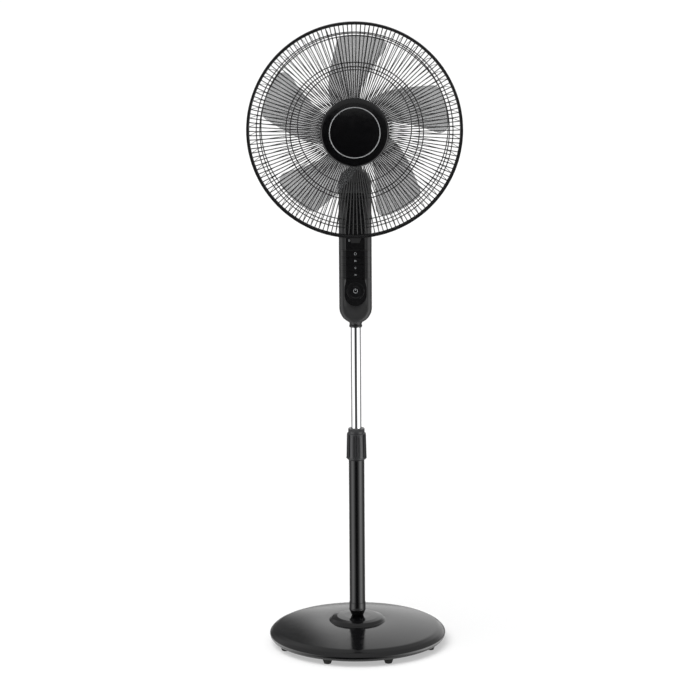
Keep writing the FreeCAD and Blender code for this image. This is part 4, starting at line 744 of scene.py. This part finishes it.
def grow(name, tree, turn, **inputs):
    """Runs a geometry tree on an empty mesh and keeps what it makes as a plain object."""
    host = put(name, bpy.data.meshes.new(f"{name}_host"))
    modifier = host.modifiers.new("tree", "NODES")
    modifier.node_group = tree
    for item in tree.interface.items_tree:
        if item.in_out == "INPUT" and item.name.replace(" ", "_") in inputs:
            modifier[item.identifier] = inputs[item.name.replace(" ", "_")]
    bpy.context.view_layer.update()
    ready = host.evaluated_get(bpy.context.evaluated_depsgraph_get())
    mesh = bpy.data.meshes.new_from_object(ready)
    host.modifiers.remove(modifier)
    mesh.name = name
    mesh.transform(turn)
    for polygon in mesh.polygons:
        polygon.use_smooth = True
    mesh.set_sharp_from_angle(angle=math.radians(62))
    host.data = mesh
    return host


def ring_set(name, rings, turn, material, segments=160, sides=8):
    """Welded rings: each is (radius, distance forward, wire radius)."""
    bm = bmesh.new()
    for radius, along, wire in rings:
        rows = []
        for i in range(segments):
            a = 2 * math.pi * i / segments
            rows.append([bm.verts.new(((radius + wire * math.cos(b)) * math.cos(a),
                                       (radius + wire * math.cos(b)) * math.sin(a),
                                       along + wire * math.sin(b)))
                         for b in [2 * math.pi * j / sides for j in range(sides)]])
        for i in range(segments):
            here, after = rows[i], rows[(i + 1) % segments]
            for j in range(sides):
                k = (j + 1) % sides
                bm.faces.new((here[j], after[j], after[k], here[k]))
    return finish_mesh(name, bm, material, turn, 80)


wire_radius = 1.05 * mm
rear_wire_radius = 0.7 * mm
ring_wire = 1.1 * mm
hoop_wire = 2.0 * mm
weld_bite = 0.3 * mm
front_seat = wire_radius + ring_wire - weld_bite
rear_seat = rear_wire_radius + ring_wire - weld_bite
hoop_radius = rim_high.x - 4.4 * mm
rim_middle = -(rim_low.y + rim_high.y) / 2
hoop_split = hoop_wire + wire_radius * 0.7
front_hub, front_knee = 53 * mm, 66 * mm
front_shoulder, shoulder_plane = 208 * mm, 131.5 * mm
front_plane = -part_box("front_guard_wires")[0].y - wire_radius
rear_hub, rear_knee = 50 * mm, 66 * mm
rear_shoulder, rear_shoulder_plane = 207 * mm, 63 * mm
rear_plane = -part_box("rear_guard_wires")[1].y + rear_wire_radius
rear_end = hoop_radius - hoop_wire - rear_wire_radius + weld_bite
spokes = spoke_tree()
front_wires = grow(
    "front_grille_wires", spokes, head_turn, Hub_Point=(front_hub, 0, front_plane),
    Inner_Bend=(front_knee, 0, front_plane), Outer_Bend=(front_shoulder, 0, shoulder_plane),
    Rim_Point=(hoop_radius, 0, rim_middle + hoop_split), Bend_Radius=20 * mm, Wire_Radius=wire_radius,
    Count=150, Material=enamel)
rear_wires = grow(
    "rear_grille_wires", spokes, head_turn, Hub_Point=(rear_hub, 0, rear_plane),
    Inner_Bend=(rear_knee, 0, rear_plane), Outer_Bend=(rear_shoulder, 0, rear_shoulder_plane),
    Rim_Point=(rear_end, 0, rim_middle - hoop_split), Bend_Radius=16 * mm, Wire_Radius=rear_wire_radius,
    Count=75, Material=enamel)


def plane_at(radius, inner, outer):
    """Where a ring sits on a wire that runs straight between two (radius, distance) points."""
    share = (radius - inner[0]) / (outer[0] - inner[0])
    return inner[1] + (outer[1] - inner[1]) * share


front_run = ((front_knee, front_plane), (front_shoulder, shoulder_plane))
rear_run = ((rear_knee, rear_plane), (rear_shoulder, rear_shoulder_plane))
front_rings = ring_set(
    "front_grille_rings",
    [(r * mm, plane_at(r * mm, *front_run) - front_seat, ring_wire) for r in (203.9, 196.4, 142.5, 133.7)]
    + [(hoop_radius, rim_middle + hoop_split, hoop_wire)], head_turn, enamel)
rear_rings = ring_set(
    "rear_grille_rings",
    [(r * mm, plane_at(r * mm, *rear_run) - rear_seat, ring_wire) for r in (196.4, 120.0)]
    + [(hoop_radius, rim_middle - hoop_split, hoop_wire)], head_turn, enamel)
for piece, node in ((front_wires, "front_guard_wires"), (rear_wires, "rear_guard_wires"),
                    (front_rings, "front_guard_rings"), (rear_rings, "rear_guard_rings")):
    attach(piece, "head")
    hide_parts(node)
rim_abs = satin_black_abs("rim_black_abs", "#08080a", "#0c0c0e", 0.45 * mm, 0.2)
eased_copy("rim_ring", rim_abs, "head", 40)
eased_copy("rim_clip", satin_abs, "head", 24)
repaint(steel_zinc, "clip_screw")
eased_copy("rear_guard_plate", enamel, "head", 24)
eased_copy("guard_nut", satin_abs, "head", 24)

# ---------------------------------------------------------------- front cap
# A black moulded cap snaps on a backplate behind the wires, with a thin bright ring let
# into its face.


def spun_aluminium():
    """Bright aluminium ring, turned, so its fine lines run round."""
    material, tree, shader, place = new_finish("spun_aluminium", Metallic=1.0)
    lines = add(tree, "ShaderNodeTexNoise", {"Vector": place, "Scale": 1 / (0.5 * mm), "Detail": 2.0})
    two_tone(tree, shader, lines.outputs["Fac"], "#b9bbbd", "#d9dadb")
    spread(tree, shader, "Roughness", lines.outputs["Fac"], 0.42, 0.56)
    return material


cap_low, cap_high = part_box("front_cap")
cap_radius = cap_high.x
cap_back, cap_top = -cap_high.y, -cap_low.y
cap_crown = 1.5 * mm
cap_edge = 4.2 * mm
ring_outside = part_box("cap_ring")[1].x


def face_at(radius):
    """How far forward the slightly crowned face is at a radius."""
    return cap_top - cap_crown * (radius / (cap_radius - cap_edge)) ** 2


face = [(r * mm, face_at(r * mm)) for r in (0, 6, 14, 24, 34, 44)]
groove = [(ring_outside - 1.9 * mm, face_at(ring_outside)), (ring_outside - 1.8 * mm, cap_top - 2.4 * mm),
          (ring_outside, cap_top - 2.4 * mm), (ring_outside + 0.1 * mm, face_at(ring_outside))]
skirt = rounded([
    (60 * mm, face_at(60 * mm)), (cap_radius - cap_edge * 0.5, face_at(cap_radius - cap_edge)),
    (cap_radius, cap_top - cap_crown - cap_edge * 0.7), (cap_radius, cap_back + 1 * mm),
    (cap_radius - 1 * mm, cap_back)], 2 * mm, 6)
front_cap = turn_on_lathe("badge_cap", face + groove + skirt + [(0, cap_back)], piano_black, 128,
                          turn=head_turn, crease=30)
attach(front_cap, "head")
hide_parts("front_cap")
ring_top = face_at(ring_outside) + 0.25 * mm
badge_ring = turn_on_lathe("bright_ring", rounded([
    (ring_outside - 1.75 * mm, cap_top - 2.4 * mm), (ring_outside - 1.75 * mm, ring_top),
    (ring_outside - 0.05 * mm, ring_top), (ring_outside - 0.05 * mm, cap_top - 2.4 * mm)], 0.3 * mm),
    spun_aluminium(), 128, turn=head_turn, closed=True, crease=60)
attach(badge_ring, "head")
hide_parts("cap_ring")
repaint(satin_abs, "cap_backplate")

# ---------------------------------------------------------------- fan blades
# Five swept blades and their hub, moulded in one piece from a smoke-tinted clear plastic
# that reads as a milky grey. A ribbed nut clamps them on the shaft.


def tinted_plastic():
    """Smoke-tinted clear plastic, thin enough to see the wires behind."""
    material, tree, shader, place = new_finish("tinted_blade_plastic", IOR=1.57)
    flow = add(tree, "ShaderNodeTexNoise", {"Vector": place, "Scale": 1 / (35 * mm), "Detail": 2.0})
    two_tone(tree, shader, flow.outputs["Fac"], "#66686a", "#747678")
    spread(tree, shader, "Alpha", flow.outputs["Fac"], 0.42, 0.52)
    spread(tree, shader, "Roughness", flow.outputs["Fac"], 0.2, 0.32)
    return material


eased_copy("fan_blades", tinted_plastic(), "rotor", 40)
eased_copy("blade_nut", satin_abs, "rotor", 30)
